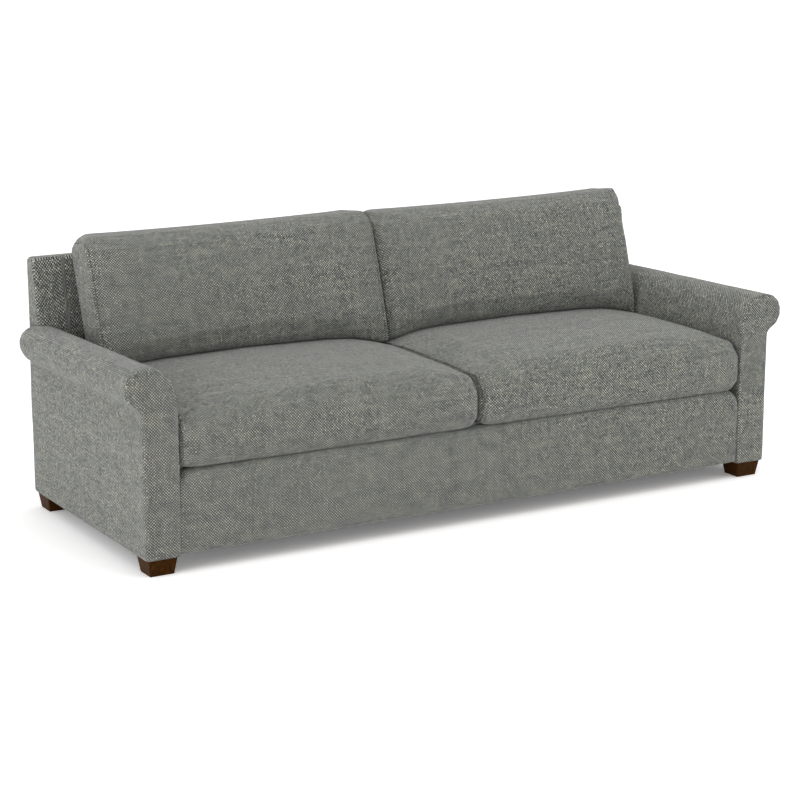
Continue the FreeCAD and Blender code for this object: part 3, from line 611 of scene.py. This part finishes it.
def woven_tweed(name, finish, pitch):
    """Chunky woven tweed: dark warp and pale weft cross thread by thread."""
    material, tree, place = new_material(name)
    cloth = add(tree, "UVMap", uv_map=CLOTH_MAP)["UV"]
    # The threads are drawn about half as coarse again as real ones, so that single threads still show
    # Hand-spun yarn wanders by about a fifth of its width over some twelve threads
    wander = add(tree, "TexNoise", {"Vector": cloth, "Scale": 1 / (12 * pitch), "Detail": 0.0},
                 noise_dimensions="2D")["Color"]
    centred = add(tree, "VectorMath", {0: wander, 1: (-0.5, -0.5, -0.5)}, operation="ADD")[0]
    shifted = add(tree, "VectorMath", {0: centred, 1: (0.6 * pitch, 0.6 * pitch, 0), 2: cloth},
                  operation="MULTIPLY_ADD")[0]
    counted = add(tree, "VectorMath", {0: shifted, 1: (1 / pitch, 1 / pitch, 0)}, operation="MULTIPLY")[0]
    cell = add(tree, "VectorMath", {0: counted}, operation="FLOOR")[0]
    inside = add(tree, "VectorMath", {0: counted}, operation="FRACTION")[0]
    cells = add(tree, "SeparateXYZ", {0: cell})
    total = add(tree, "Math", {0: cells[0], 1: cells[1]}, operation="ADD")[0]
    weft_up = add(tree, "Math", {0: total, 1: 2.0}, operation="FLOORED_MODULO")[0]
    chance = add(tree, "TexWhiteNoise", {"Vector": cell}, noise_dimensions="2D")["Value"]
    warp_chance = add(tree, "TexWhiteNoise", {"W": cells[0]}, noise_dimensions="1D")["Value"]
    weft_chance = add(tree, "TexWhiteNoise", {"W": cells[1]}, noise_dimensions="1D")["Value"]
    # Each thread is round, so its middle stands up; this relief makes the bump, and further down it also
    # paints the tone lighter at each thread's middle as a painted highlight and darker at its edges as
    # painted shade
    half_turns = add(tree, "VectorMath", {0: inside, 1: (math.pi, math.pi, 0)}, operation="MULTIPLY")[0]
    swell = add(tree, "VectorMath", {0: half_turns}, operation="SINE")[0]
    swells = add(tree, "SeparateXYZ", {0: swell})
    relief = add(tree, "Math", {0: swells[0], 1: swells[1]}, operation="MULTIPLY")[0]
    # Slubs lie in flat patches of some four weft threads, about 90 mm long, where pale flecks are denser
    stretched = add(tree, "VectorMath", {0: cloth, 1: (1 / 0.09, 1 / (4 * pitch), 0)},
                    operation="MULTIPLY")[0]
    slub = add(tree, "TexNoise", {"Vector": stretched, "Scale": 1.0, "Detail": 1.0},
               noise_dimensions="2D")["Fac"]
    slub_share = add(tree, "MapRange", {"Value": slub, "From Min": 0.5, "From Max": 0.8,
                                        "To Min": 0.0, "To Max": 0.4})[0]
    warp = add(tree, "ValToRGB", {"Fac": chance},
               stops=((0, finish.dark_yarn), (0.55, finish.dark_yarn), (1, finish.grey_yarn)))[0]
    weft = add(tree, "ValToRGB", {"Fac": chance},
               stops=((0, finish.grey_yarn), (0.35, finish.pale_yarn), (0.8, finish.pale_yarn),
                      (1, finish.cream_yarn)))[0]
    slubbed = add(tree, "Mix", {"Factor": slub_share, "A": weft, "B": (*finish.cream_yarn, 1)},
                  data_type="RGBA")["Result"]
    yarn = add(tree, "Mix", {"Factor": weft_up, "A": warp, "B": slubbed}, data_type="RGBA")["Result"]
    # Dye takes unevenly over about 120 mm, and yarn by yarn; on top of that, thread edges and seam grooves
    # are painted darker as shade, and thread middles lighter as highlight
    patch = add(tree, "TexNoise", {"Vector": place, "Scale": 1 / 0.12, "Detail": 2.0})["Fac"]
    # Painted shade: the tone drops to 0.15 along the seam grooves, where the fold would shade the cloth
    seam = add(tree, "Attribute", attribute_name=SEAM_MARK)["Fac"]
    tone = yarn
    for source, low, high in ((patch, 0.95, 1.05), (warp_chance, 0.93, 1.07), (weft_chance, 0.93, 1.07),
                              (relief, 0.35, 1.60), (seam, 1.0, 0.15)):
        shade = add(tree, "MapRange", {"Value": source, "To Min": low, "To Max": high})[0]
        tone = add(tree, "VectorMath", {0: tone, "Scale": shade}, operation="SCALE")[0]
    fuzz = add(tree, "TexNoise", {"Vector": cloth, "Scale": 1 / 0.0012, "Detail": 1.0},
               noise_dimensions="2D")["Fac"]
    height = add(tree, "Math", {0: fuzz, 1: 0.35, 2: relief}, operation="MULTIPLY_ADD")[0]
    surface(tree, tone, relief, (0.95, 0.80), (height, 0.6, 0.0008),
            {"Specular IOR Level": 0.25, "Sheen Weight": 0.25, "Sheen Roughness": 0.45})
    return material


def grained(name, dark, light, grain, gloss_range, gloss=0.25, layers=0.0):
    """Wood: long fibres along one axis, darker pores, and glue lines where it is built of layers."""
    material, tree, place = new_material(name)
    stretched = add(tree, "VectorMath", {0: place, 1: grain}, operation="MULTIPLY")[0]
    fibre = add(tree, "TexNoise", {"Vector": stretched, "Scale": 1.0, "Detail": 5.0,
                                   "Distortion": 0.4})["Fac"]
    shown = add(tree, "ValToRGB", {"Fac": fibre}, stops=((0, dark), (0.42, dark), (1, light)))[0]
    if layers:
        split = add(tree, "SeparateXYZ", {0: place})[1]
        turns = add(tree, "Math", {0: split, 1: 2 * math.pi / layers}, operation="MULTIPLY")[0]
        wave = add(tree, "Math", {0: turns}, operation="SINE")[0]
        line = add(tree, "MapRange", {"Value": wave, "From Min": -0.3, "From Max": 0.3,
                                      "To Min": 0.55, "To Max": 1.0})[0]
        shown = add(tree, "VectorMath", {0: shown, "Scale": line}, operation="SCALE")[0]
    surface(tree, shown, fibre, gloss_range, (fibre, 0.25, 0.0004), {"Specular IOR Level": gloss})
    return material


def speckled(name, dark, light, grit, depth, roughness):
    """Foam, fibre or pressed board: cells or fibres of one grit, with their own shades and relief."""
    material, tree, place = new_material(name)
    cells = add(tree, "TexVoronoi", {"Vector": place, "Scale": 1 / grit})
    cloud = add(tree, "TexNoise", {"Vector": place, "Scale": 1 / (12 * grit), "Detail": 4.0})["Fac"]
    mixed = add(tree, "Math", {0: cells["Distance"], 1: 0.5, 2: cloud}, operation="MULTIPLY_ADD")[0]
    tone = add(tree, "ValToRGB", {"Fac": mixed}, stops=((0, dark), (1, light)))[0]
    spread = 0.08
    surface(tree, tone, cloud, (roughness - spread, roughness + spread), (mixed, 0.6, depth))
    return material


def plain_weave(name, dark, light, pitch, depth):
    """Plain woven cloth or webbing: threads cross along X and Y, one over and one under."""
    material, tree, place = new_material(name)
    turns = add(tree, "VectorMath", {0: place, 1: (math.pi / pitch,) * 3}, operation="MULTIPLY")[0]
    waves = add(tree, "SeparateXYZ", {0: add(tree, "VectorMath", {0: turns}, operation="SINE")[0]})
    crossed = add(tree, "Math", {0: waves[0], 1: waves[1]}, operation="MULTIPLY")[0]
    fuzz = add(tree, "TexNoise", {"Vector": place, "Scale": 1 / (3 * pitch), "Detail": 3.0})["Fac"]
    mixed = add(tree, "Math", {0: crossed, 1: 0.3, 2: fuzz}, operation="MULTIPLY_ADD")[0]
    tone = add(tree, "ValToRGB", {"Fac": mixed}, stops=((0, dark), (1, light)))[0]
    surface(tree, tone, fuzz, (0.7, 0.95), (mixed, 0.7, depth))
    return material


def plated_steel(name):
    """Zinc-plated steel: a bright grey with cloudy crystals."""
    material, tree, place = new_material(name)
    crystal = add(tree, "TexVoronoi", {"Vector": place, "Scale": 1 / 0.002})["Distance"]
    tone = add(tree, "ValToRGB", {"Fac": crystal}, stops=((0, linear("9DA1A4")), (1, linear("C9CCCC"))))[0]
    surface(tree, tone, crystal, (0.28, 0.45), others={"Metallic": 1.0})
    return material


def slot_materials():
    """One finish for each material slot of the record."""
    finish = sizes()[3]
    return {
        # Matt salt and pepper, a little brighter at its edges from loose fuzz
        "tweed": woven_tweed("woven_tweed", finish, finish.thread_pitch),
        # Stain under thin matt lacquer: deep brown, upright grain, hardly any shine
        "stained_wood": grained("stained_walnut", finish.wood_dark, finish.wood_light, (260, 260, 26),
                                (0.45, 0.6), 0.06),
        # Pale, silky boards with long straight grain
        "hardwood": grained("planed_poplar", linear("A98A5C"), linear("D2B88A"), (9, 90, 90), (0.55, 0.75)),
        # Pale faces, with darker glue lines across the edges
        "plywood": grained("birch_plywood", linear("B8935F"), linear("DDC496"), (70, 70, 8), (0.5, 0.7),
                           layers=0.003),
        # Smooth mid brown, speckled with short fibres
        "hardboard": speckled("pressed_hardboard", linear("4A3522"), linear("7A5B3C"), 0.0015, 0.0003, 0.6),
        # Cream and matt, with open cells
        "foam": speckled("cut_foam", linear("C9BE92"), linear("EFE8C8"), 0.0022, 0.0008, 0.9),
        # White, soft and cloudy
        "wadding": speckled("polyester_wadding", linear("D8D8D2"), linear("F4F4EF"), 0.006, 0.0030, 0.9),
        # Charcoal, with paler threads that cross
        "webbing": plain_weave("elastic_webbing", linear("2B2C2C"), linear("6C6B64"), 0.0016, 0.0006),
        # Flat grey cotton with a fine even weave
        "deck_cloth": plain_weave("cotton_deck_cloth", linear("5B5E5A"), linear("8E9089"), 0.0008, 0.0002),
        # Black felt with faint fibres
        "dust_cloth": speckled("spun_dust_cloth", linear("101111"), linear("2C2D2D"), 0.0010, 0.0002, 0.85),
        "steel": plated_steel("zinc_plated_steel"),
        # Dark tape with a tight weave
        "zip": plain_weave("nylon_zip", linear("2E302F"), linear("5A5C59"), 0.0011, 0.0004),
    }


class SOFA_OT_frame(bpy.types.Operator):
    """Gives the boards, foam, webbing, bolts and feet of the frame their finishes"""
    bl_idname = "sofa.frame"
    bl_label = "Finish the frame"

    def execute(self, context):
        finishes = slot_materials()
        for row in frame["record"]["subparts"]:
            mesh = frame["nodes"][row["node"]].data
            mesh.materials.clear()
            mesh.materials.append(finishes[row["material_slot"]])
        return {"FINISHED"}


class SOFA_OT_arms(bpy.types.Operator):
    """Upholsters the two rolled arms"""
    bl_idname = "sofa.arms"
    bl_label = "Upholster the arms"

    def execute(self, context):
        cushion = sizes()[2]
        left = arm_form("left_arm_upholstery")
        right = mirror_copy(left, "right_arm_upholstery")
        for side, piece in zip(SIDES, (left, right)):
            upholster(piece, cushion.cover_grain, 4, cushion.unevenness)
            cover(piece, "root", "arm_cover_" + side, (side + "_arm_padding", "arm_padding_" + side, "foam"),
                  0.95, turned=True, front=cushion.cover_grain / 2)
        return {"FINISHED"}


class SOFA_OT_rail(bpy.types.Operator):
    """Upholsters the front rail"""
    bl_idname = "sofa.rail"
    bl_label = "Upholster the front rail"

    def execute(self, context):
        body, cushion = sizes()[1:3]
        low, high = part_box("front_rail_cover")
        end = low.x - body.rail_ease
        stations = [(end + depth, drop) for depth, drop in quarter_round(body.rail_end_round)]
        stations += [(-x, drop) for x, drop in reversed(stations)]
        rings = [rounded_ring(x, [
            (low.y + body.rail_recess * drop, low.z + body.rail_lift, body.rail_hem_round),
            (high.y, low.z + body.rail_lift, body.rail_hem_round),
            (high.y, high.z - drop, body.rail_rear_round),
            (low.y + body.rail_recess * drop, high.z - drop, body.rail_front_round),
        ]) for x, drop in stations]
        piece = loft("front_rail_upholstery", (1, 0, 0), rings)
        upholster(piece, cushion.cover_grain, 4, cushion.unevenness)
        cover(piece, "root", "front_rail_cover", ("front_rail_foam", "front_rail_padding", "foam"), 0.9)
        return {"FINISHED"}


class SOFA_OT_back(bpy.types.Operator):
    """Upholsters the back, whose ends rest on the arms"""
    bl_idname = "sofa.back"
    bl_label = "Upholster the back"

    def execute(self, context):
        body, cushion = sizes()[1:3]
        low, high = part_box("back_cover")
        end = low.x - body.back_ease
        stations = [(end + depth, inset) for depth, inset in quarter_round(body.back_end_round)]
        stations += [(-x, inset) for x, inset in reversed(stations)]
        top_front = high.y - body.back_top_depth
        rings = []
        for x, inset in stations:
            top = high.z + body.back_ease - inset
            foot_y = top_front - (high.z - low.z) * math.tan(body.back_lean) + inset
            head_y = top_front - inset * math.tan(body.back_lean) + inset
            rings.append(rounded_ring(x, [
                (foot_y, low.z - body.back_hem, body.back_hem),
                (high.y - inset, low.z - body.back_hem, body.back_hem),
                (high.y - inset, top, body.back_top_round),
                (head_y, top, body.back_top_round),
            ]))
        piece = loft("back_upholstery", (1, 0, 0), rings)
        arm = arm_form("arm_shape")
        fatten(arm, -body.back_into_arms)
        cutters = [arm, mirror_copy(arm, "arm_shape_mirrored")]
        inside = -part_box("arm_cover_left")[1].x
        for way in (-1, 1):
            bpy.ops.object.select_all(action="DESELECT")
            bpy.ops.mesh.primitive_cube_add(size=1, location=(0, high.y, 0))
            block = bpy.context.object
            block.scale = (-low.x - inside + 2 * body.back_top_depth, 1, 2 * body.ear_floor)
            block.location.x = way * (body.back_past_posts + inside + block.scale.x / 2)
            bpy.ops.object.transform_apply(location=True, rotation=True, scale=True)
            cutters.append(block)
        for cutter in cutters:
            modify(piece, "BOOLEAN", operation="DIFFERENCE", object=cutter, solver="EXACT")
            bpy.data.objects.remove(cutter)
        upholster(piece, cushion.panel_grain, 3, cushion.unevenness)
        cover(piece, "root", "back_cover", ("back_foam", "back_padding", "foam"), 0.9)
        return {"FINISHED"}


def stuff(kind, inner, inset, grain, reach):
    """Copies, remeshes and fills a pair of cushions, and gives them with their end seams, which are held."""
    pieces = []
    seams = []
    for side in SIDES:
        low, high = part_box(kind + "_cushion_cover_" + side)
        piece = copy_node(kind + "_cushion_" + inner + "_" + side, side + "_" + kind + "_cushion")
        modify(piece, "REMESH", mode="VOXEL", voxel_size=grain)
        modify(piece, "SMOOTH", factor=0.5, iterations=4)
        planes = (low.x + inset, high.x - inset)
        hold(piece, planes, grain * HELD_SHARE)
        pieces.append(piece)
        seams.append(planes)
    fill_cushions(pieces, sizes()[2].pressure, reach)
    for piece in pieces:
        modify(piece, "SUBSURF", levels=1, render_levels=1)
    return zip(SIDES, pieces, seams)


def fill_inside(piece, body, cushion, name, node, slot):
    """The foam, wadding or fibre inside a cover: a softer copy of it, a little smaller."""
    select_only(piece)
    bpy.ops.object.duplicate()
    inner = bpy.context.object
    inner.name = name
    modify(inner, "REMESH", mode="VOXEL", voxel_size=cushion.fill_grain)
    modify(inner, "SMOOTH", factor=0.5, iterations=2)
    fatten(inner, -cushion.fill_inset)
    finish_piece(inner, body, node, slot)


def cover(piece, body, node, inside, fill, seams=(), **cloth):
    """Fills a shaped cover, sews its seams, lays its cloth and finishes it."""
    cushion = sizes()[2]
    fill_inside(piece, body, cushion, *inside)
    for x in seams:
        sew(piece, x, cushion.seam_width, cushion.seam_depth)
    lay_cloth(piece, **cloth)
    finish_piece(piece, body, node, "tweed")


def ease(share):
    """A share from 0 to 1, slowed at both ends."""
    share = np.clip(share, 0, 1)
    return share * share * (3 - 2 * share)


def across_share(rows):
    """How far each point lies from the middle of a cushion towards its ends, from 0 to 1."""
    x = rows[:, 0]
    return np.abs(2 * x - x.min() - x.max()) / (x.max() - x.min())


def square_ends(piece, cushion, rises):
    """Draws the front of a box cushion's ends out to its seams; an edge comes forward, or is rounded back."""
    rows = points_of(piece)
    low, high = rows[:, 0].min(), rows[:, 0].max()
    upright = rows[:, 1] - rows[:, 2] * math.tan(cushion.cushion_lean)
    middle = (upright.min() + upright.max()) / 2
    forward = ease((middle - upright) / (middle - upright.min()) * FRONT_LEAD)
    for end, way, rise in ((low, 1, rises[0]), (high, -1, rises[1])):
        share = np.clip((rows[:, 0] - end) * way / cushion.end_reach, 0, 1)
        squared = end + way * cushion.end_reach * share ** 3
        near = share < 1
        rows[near, 0] += ((squared - rows[:, 0]) * forward)[near]
        if rise < 0:
            deep = np.clip(-rise - (rows[:, 0] - end) * way, 0, -rise)
            rows[:, 1] += (-rise - np.sqrt(rise ** 2 - deep ** 2)) * forward
        else:
            rows[near, 1] -= (rise * forward * ease(1 - share))[near]
    move_points(piece, rows)


def round_corner(piece, radius):
    """Rounds the outer top corner of a left cushion, seen from the front."""
    rows = points_of(piece)
    low, high = rows.min(0), rows.max(0)
    out = np.clip((low[0] + radius - rows[:, 0]) / radius, 0, 1)
    up = np.clip((rows[:, 2] - high[2] + radius) / radius, 0, 1)
    rows[:, 0] += radius * out * (1 - np.sqrt(1 - up ** 2 / 2))
    rows[:, 2] -= radius * up * (1 - np.sqrt(1 - out ** 2 / 2))
    move_points(piece, rows)


def draw_corner(piece, reach):
    """Draws the outer top corner of a right cushion out, seen from the front."""
    sideways, upwards = 0.4, 0.15
    rows = points_of(piece)
    high = rows.max(0)
    out = np.clip((rows[:, 0] - high[0] + reach) / reach, 0, 1)
    up = np.clip((rows[:, 2] - high[2] + reach) / reach, 0, 1)
    rows[:, 0] = np.minimum(rows[:, 0] + sideways * reach * out * up, high[0])
    rows[:, 2] = np.minimum(rows[:, 2] + upwards * reach * out * up, high[2])
    move_points(piece, rows)


def sag_top(piece, drop):
    """Lets the top of a back cushion sag between its ends, most of all towards its left."""
    tilt, bow, end_dip, sharpness = 0.4, 0.7, 0.2, 8
    depth, blend = 0.08, 0.06
    rows = points_of(piece)
    x = rows[:, 0]
    along = (2 * x - x.min() - x.max()) / (x.max() - x.min())
    share = 1 - tilt * along - bow * along ** 2 - end_dip * np.maximum(along, 0) ** sharpness
    rows[:, 2] -= drop * share * ease((rows[:, 2] - rows[:, 2].max() + depth) / blend)
    move_points(piece, rows)


def droop_front(piece, drop, rail_round, gap):
    """Lets the lower front edge of a seat cushion droop on to the rail, most of all at the sofa's right."""
    least, growth = 0.25, 0.7
    lip_height, lip_depth, lip_blend = 0.07, 0.075, 0.045
    rows = points_of(piece)
    low = rows.min(0)
    rail_low, rail_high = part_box("front_rail_cover")
    end = cad_box[1].x
    share = least + growth * (rows[:, 0] + end) / (2 * end)
    lower = ease((low[2] + lip_height - rows[:, 2]) / lip_height)
    front = ease((low[1] + lip_depth - rows[:, 1]) / lip_blend)
    ahead = np.clip(rail_low.y + rail_round - rows[:, 1], 0, rail_round)
    rest = rail_high.z - rail_round + np.sqrt(rail_round ** 2 - ahead ** 2) + gap
    rows[:, 2] = np.maximum(rows[:, 2] - drop * share * lower * front, np.minimum(rows[:, 2], rest))
    move_points(piece, rows)


def settle(piece, drop, reach):
    """Lowers the top of a seat cushion where a back cushion rests on it."""
    reaches_ahead = 1.6
    rows = points_of(piece)
    low, high = rows.min(0), rows.max(0)
    front = high[1] - drop - reach * reaches_ahead
    behind = ease((rows[:, 1] - front) / reach)
    above = (rows[:, 2] - low[2]) / (high[2] - low[2])
    rows[:, 2] -= drop * behind * above * (1 - across_share(rows) ** SEAT_STIFFNESS)
    move_points(piece, rows)


class SOFA_OT_seat_cushions(bpy.types.Operator):
    """Fills, presses and sews the two seat cushions"""
    bl_idname = "sofa.seat_cushions"
    bl_label = "Fill the seat cushions"

    def execute(self, context):
        body, cushion = sizes()[1:3]
        for side, piece, seams in stuff("seat", "wrap", cushion.seam_inset, cushion.seat_grain,
                                        cushion.seat_swell):
            low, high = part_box("seat_cushion_cover_" + side)
            press(piece, (low.x, 0, 0), (-1, 0, 0))
            press(piece, (high.x, 0, 0), (1, 0, 0))
            press(piece, (0, 0, low.z), (0, 0, -1))
            press(piece, (0, high.y, low.z), (0, math.cos(body.back_lean), -math.sin(body.back_lean)))
            settle(piece, cushion.seat_settle, cushion.settle_reach)
            droop_front(piece, cushion.front_droop, body.rail_front_round, cushion.rest_gap)
            cover(piece, "seat_cushion_" + side, "seat_cushion_cover_" + side,
                  (side + "_seat_wadding", "seat_cushion_wrap_" + side, "wadding"), 0.8, seams,
                  shift=0.5 if side == "left" else 0.0)
        return {"FINISHED"}


class SOFA_OT_back_cushions(bpy.types.Operator):
    """Fills the two back cushions, rests them on the seat cushions and the back, and sews them"""
    bl_idname = "sofa.back_cushions"
    bl_label = "Fill the back cushions"

    def execute(self, context):
        body, cushion = sizes()[1:3]
        for side, piece, seams in stuff("back", "filling", cushion.back_seam_inset, cushion.back_grain,
                                        cushion.back_swell):
            low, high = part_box("back_cushion_cover_" + side)
            press(piece, (low.x, 0, 0), (-1, 0, 0))
            press(piece, (0, 0, high.z), (0, 0, 1))
            if side == "left":
                press(piece, (high.x, 0, 0), (1, 0, 0))
                square_ends(piece, cushion, (cushion.edge_rise, cushion.edge_rise))
                round_corner(piece, cushion.top_corner)
            else:
                press(piece, (high.x - cushion.end_gap, 0, 0), (1, 0, 0))
                square_ends(piece, cushion, (-cushion.edge_sink, 0))
                draw_corner(piece, cushion.crisp_corner)
            sag_top(piece, cushion.top_sag)
            self.rest(piece, bpy.data.objects[side + "_seat_cushion"], cushion, body)
            self.lean(piece, body)
            cover(piece, "back_cushion_" + side, "back_cushion_cover_" + side,
                  (side + "_back_filling", "back_cushion_filling_" + side, "wadding"), 0.7, seams,
                  shift=0.25 if side == "left" else 0.75, lean=cushion.cushion_lean)
        return {"FINISHED"}

    def rest(self, piece, seat, cushion, body):
        """Sinks the foot of a back cushion on to its seat cushion and tucks its front edge under."""
        tree = BVHTree.FromPolygons([v.co for v in seat.data.vertices],
                                    [p.vertices[:] for p in seat.data.polygons])
        rows = points_of(piece)
        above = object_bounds()[1].z
        crown = max(v.co.z for v in seat.data.vertices)
        face = self.face(rows, body)
        middle_share = 1 - across_share(rows) ** FOOT_STIFFNESS
        depth = face - rows[:, 1]
        for i in np.flatnonzero(rows[:, 2] < crown + cushion.foot_height):
            x, y, z = rows[i]
            hit = tree.ray_cast(Vector((x, y, above)), Vector((0, 0, -1)))[0]
            if hit is None:
                continue
            low_share = min(max(1 - (z - hit.z) / cushion.foot_height, 0), 1)
            z = max(z - cushion.foot_drop * low_share, hit.z + cushion.rest_gap)
            low_share = min(max(1 - (z - hit.z) / cushion.foot_height, 0), 1)
            front_share = min(max(depth[i] / cushion.foot_height - 1, 0), 1) * middle_share[i]
            y += cushion.foot_tuck * (1 - math.sqrt(1 - low_share ** 2)) * front_share
            hit = tree.ray_cast(Vector((x, y, above)), Vector((0, 0, -1)))[0]
            rows[i, 1] = y
            rows[i, 2] = max(z, hit.z + cushion.rest_gap) if hit else z
        move_points(piece, rows)

    def face(self, rows, body):
        """Y of the inside face of the back at the height of each point."""
        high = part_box("back_cover")[1]
        return high.y - body.back_top_depth - (high.z - rows[:, 2]) * math.tan(body.back_lean)

    def lean(self, piece, body):
        """Presses the rear of a back cushion on the inside face of the back."""
        rows = points_of(piece)
        under = rows[:, 2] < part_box("back_cover")[1].z - body.back_top_round
        rows[:, 1] = np.where(under, np.minimum(rows[:, 1], self.face(rows, body)), rows[:, 1])
        move_points(piece, rows)


class SOFA_OT_stage(bpy.types.Operator):
    """Sets up the pale floor, the studio light and the camera"""
    bl_idname = "sofa.stage"
    bl_label = "Set the stage"

    def execute(self, context):
        self.floor()
        self.light()
        self.camera()
        return {"FINISHED"}

    def floor(self):
        """A white floor, which glows a little where it is seen and keeps the sofa's shadow."""
        bpy.ops.object.select_all(action="DESELECT")
        bpy.ops.mesh.primitive_plane_add(size=60)
        floor = bpy.context.object
        floor.name = "studio_floor"
        material = bpy.data.materials.new("white_floor")
        tree = empty_tree(material)
        tone = (*sizes()[3].floor, 1)
        paint = add(tree, "BsdfDiffuse", {"Color": tone})[0]
        bright = add(tree, "BsdfDiffuse", {"Color": (*(FLOOR_GAIN * c for c in tone[:3]), 1)})[0]
        glow = add(tree, "Emission", {"Color": tone, "Strength": FLOOR_GLOW})[0]
        lit = add(tree, "AddShader", {0: bright, 1: glow})[0]
        mixed = add(tree, "MixShader", {0: seen_rays(tree), 1: paint, 2: lit})[0]
        add(tree, "OutputMaterial", {"Surface": mixed})
        floor.data.materials.append(material)
        floor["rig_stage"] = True

    def light(self):
        """A soft pale sky and three large lamps."""
        world = bpy.data.worlds.new("studio")
        bpy.context.scene.world = world
        tree = empty_tree(world)
        level = add(tree, "MapRange", {"Value": seen_rays(tree), "To Min": SKY_LEVEL, "To Max": 1.0})[0]
        sky = add(tree, "Background", {"Color": (1, 1, 1, 1), "Strength": level})[0]
        add(tree, "OutputWorld", {"Surface": sky})
        for name, place, size, power in LAMPS:
            self.lamp(name, place, size, power)

    def lamp(self, name, place, size, power):
        """A square lamp that faces the sofa."""
        bpy.ops.object.select_all(action="DESELECT")
        bpy.ops.object.light_add(type="AREA", location=place)
        lamp = bpy.context.object
        lamp.name = name
        lamp.data.size = size
        lamp.data.energy = power
        centre = (cad_box[0] + cad_box[1]) / 2
        lamp.rotation_euler = (centre - Vector(place)).to_track_quat("-Z", "Y").to_euler()

    def camera(self):
        """The photograph's point of view."""
        yaw, pitch = CAMERA_YAW, CAMERA_PITCH
        bpy.ops.object.select_all(action="DESELECT")
        bpy.ops.object.camera_add(location=CAMERA_PLACE)
        camera = bpy.context.object
        camera.name = "photo_camera"
        ahead = Vector((math.sin(yaw) * math.cos(pitch), math.cos(yaw) * math.cos(pitch), -math.sin(pitch)))
        camera.rotation_euler = ahead.to_track_quat("-Z", "Y").to_euler()
        camera.data.sensor_width = CAMERA_SENSOR
        camera.data.lens = CAMERA_LENS
        bpy.context.scene.camera = camera
        bpy.context.scene.view_settings.view_transform = "Standard"


class SOFA_PT_panel(bpy.types.Panel):
    """Lists the sizes, colours and steps of the sofa"""
    bl_idname = "SOFA_PT_panel"
    bl_label = "Sofa"
    bl_space_type = "VIEW_3D"
    bl_region_type = "UI"
    bl_category = "Sofa"

    def draw(self, context):
        for group in sizes():
            box = self.layout.box()
            box.label(text=group.bl_rna.description)
            for name in group.__annotations__:
                box.prop(group, name)
        for operator in OPERATORS:
            self.layout.operator(operator.bl_idname)


GROUPS = {
    "sofa_arm": SofaArmSizes,
    "sofa_body": SofaBodySizes,
    "sofa_cushion": SofaCushionSizes,
    "sofa_finish": SofaFinish,
}
OPERATORS = (SOFA_OT_stage, SOFA_OT_frame, SOFA_OT_arms, SOFA_OT_rail, SOFA_OT_back, SOFA_OT_seat_cushions,
             SOFA_OT_back_cushions)


def register():
    for name, group in GROUPS.items():
        bpy.utils.register_class(group)
        setattr(bpy.types.Scene, name, bpy.props.PointerProperty(type=group))
    for kind in (*OPERATORS, SOFA_PT_panel):
        bpy.utils.register_class(kind)


def unregister():
    for kind in (SOFA_PT_panel, *reversed(OPERATORS)):
        bpy.utils.unregister_class(kind)
    for name, group in GROUPS.items():
        delattr(bpy.types.Scene, name)
        bpy.utils.unregister_class(group)


def main():
    """Registers the add-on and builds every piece."""
    register()
    bpy.ops.sofa.stage()
    bpy.ops.sofa.frame()
    bpy.ops.sofa.arms()
    bpy.ops.sofa.rail()
    bpy.ops.sofa.back()
    bpy.ops.sofa.seat_cushions()
    bpy.ops.sofa.back_cushions()


if __name__ == "__main__":
    main()
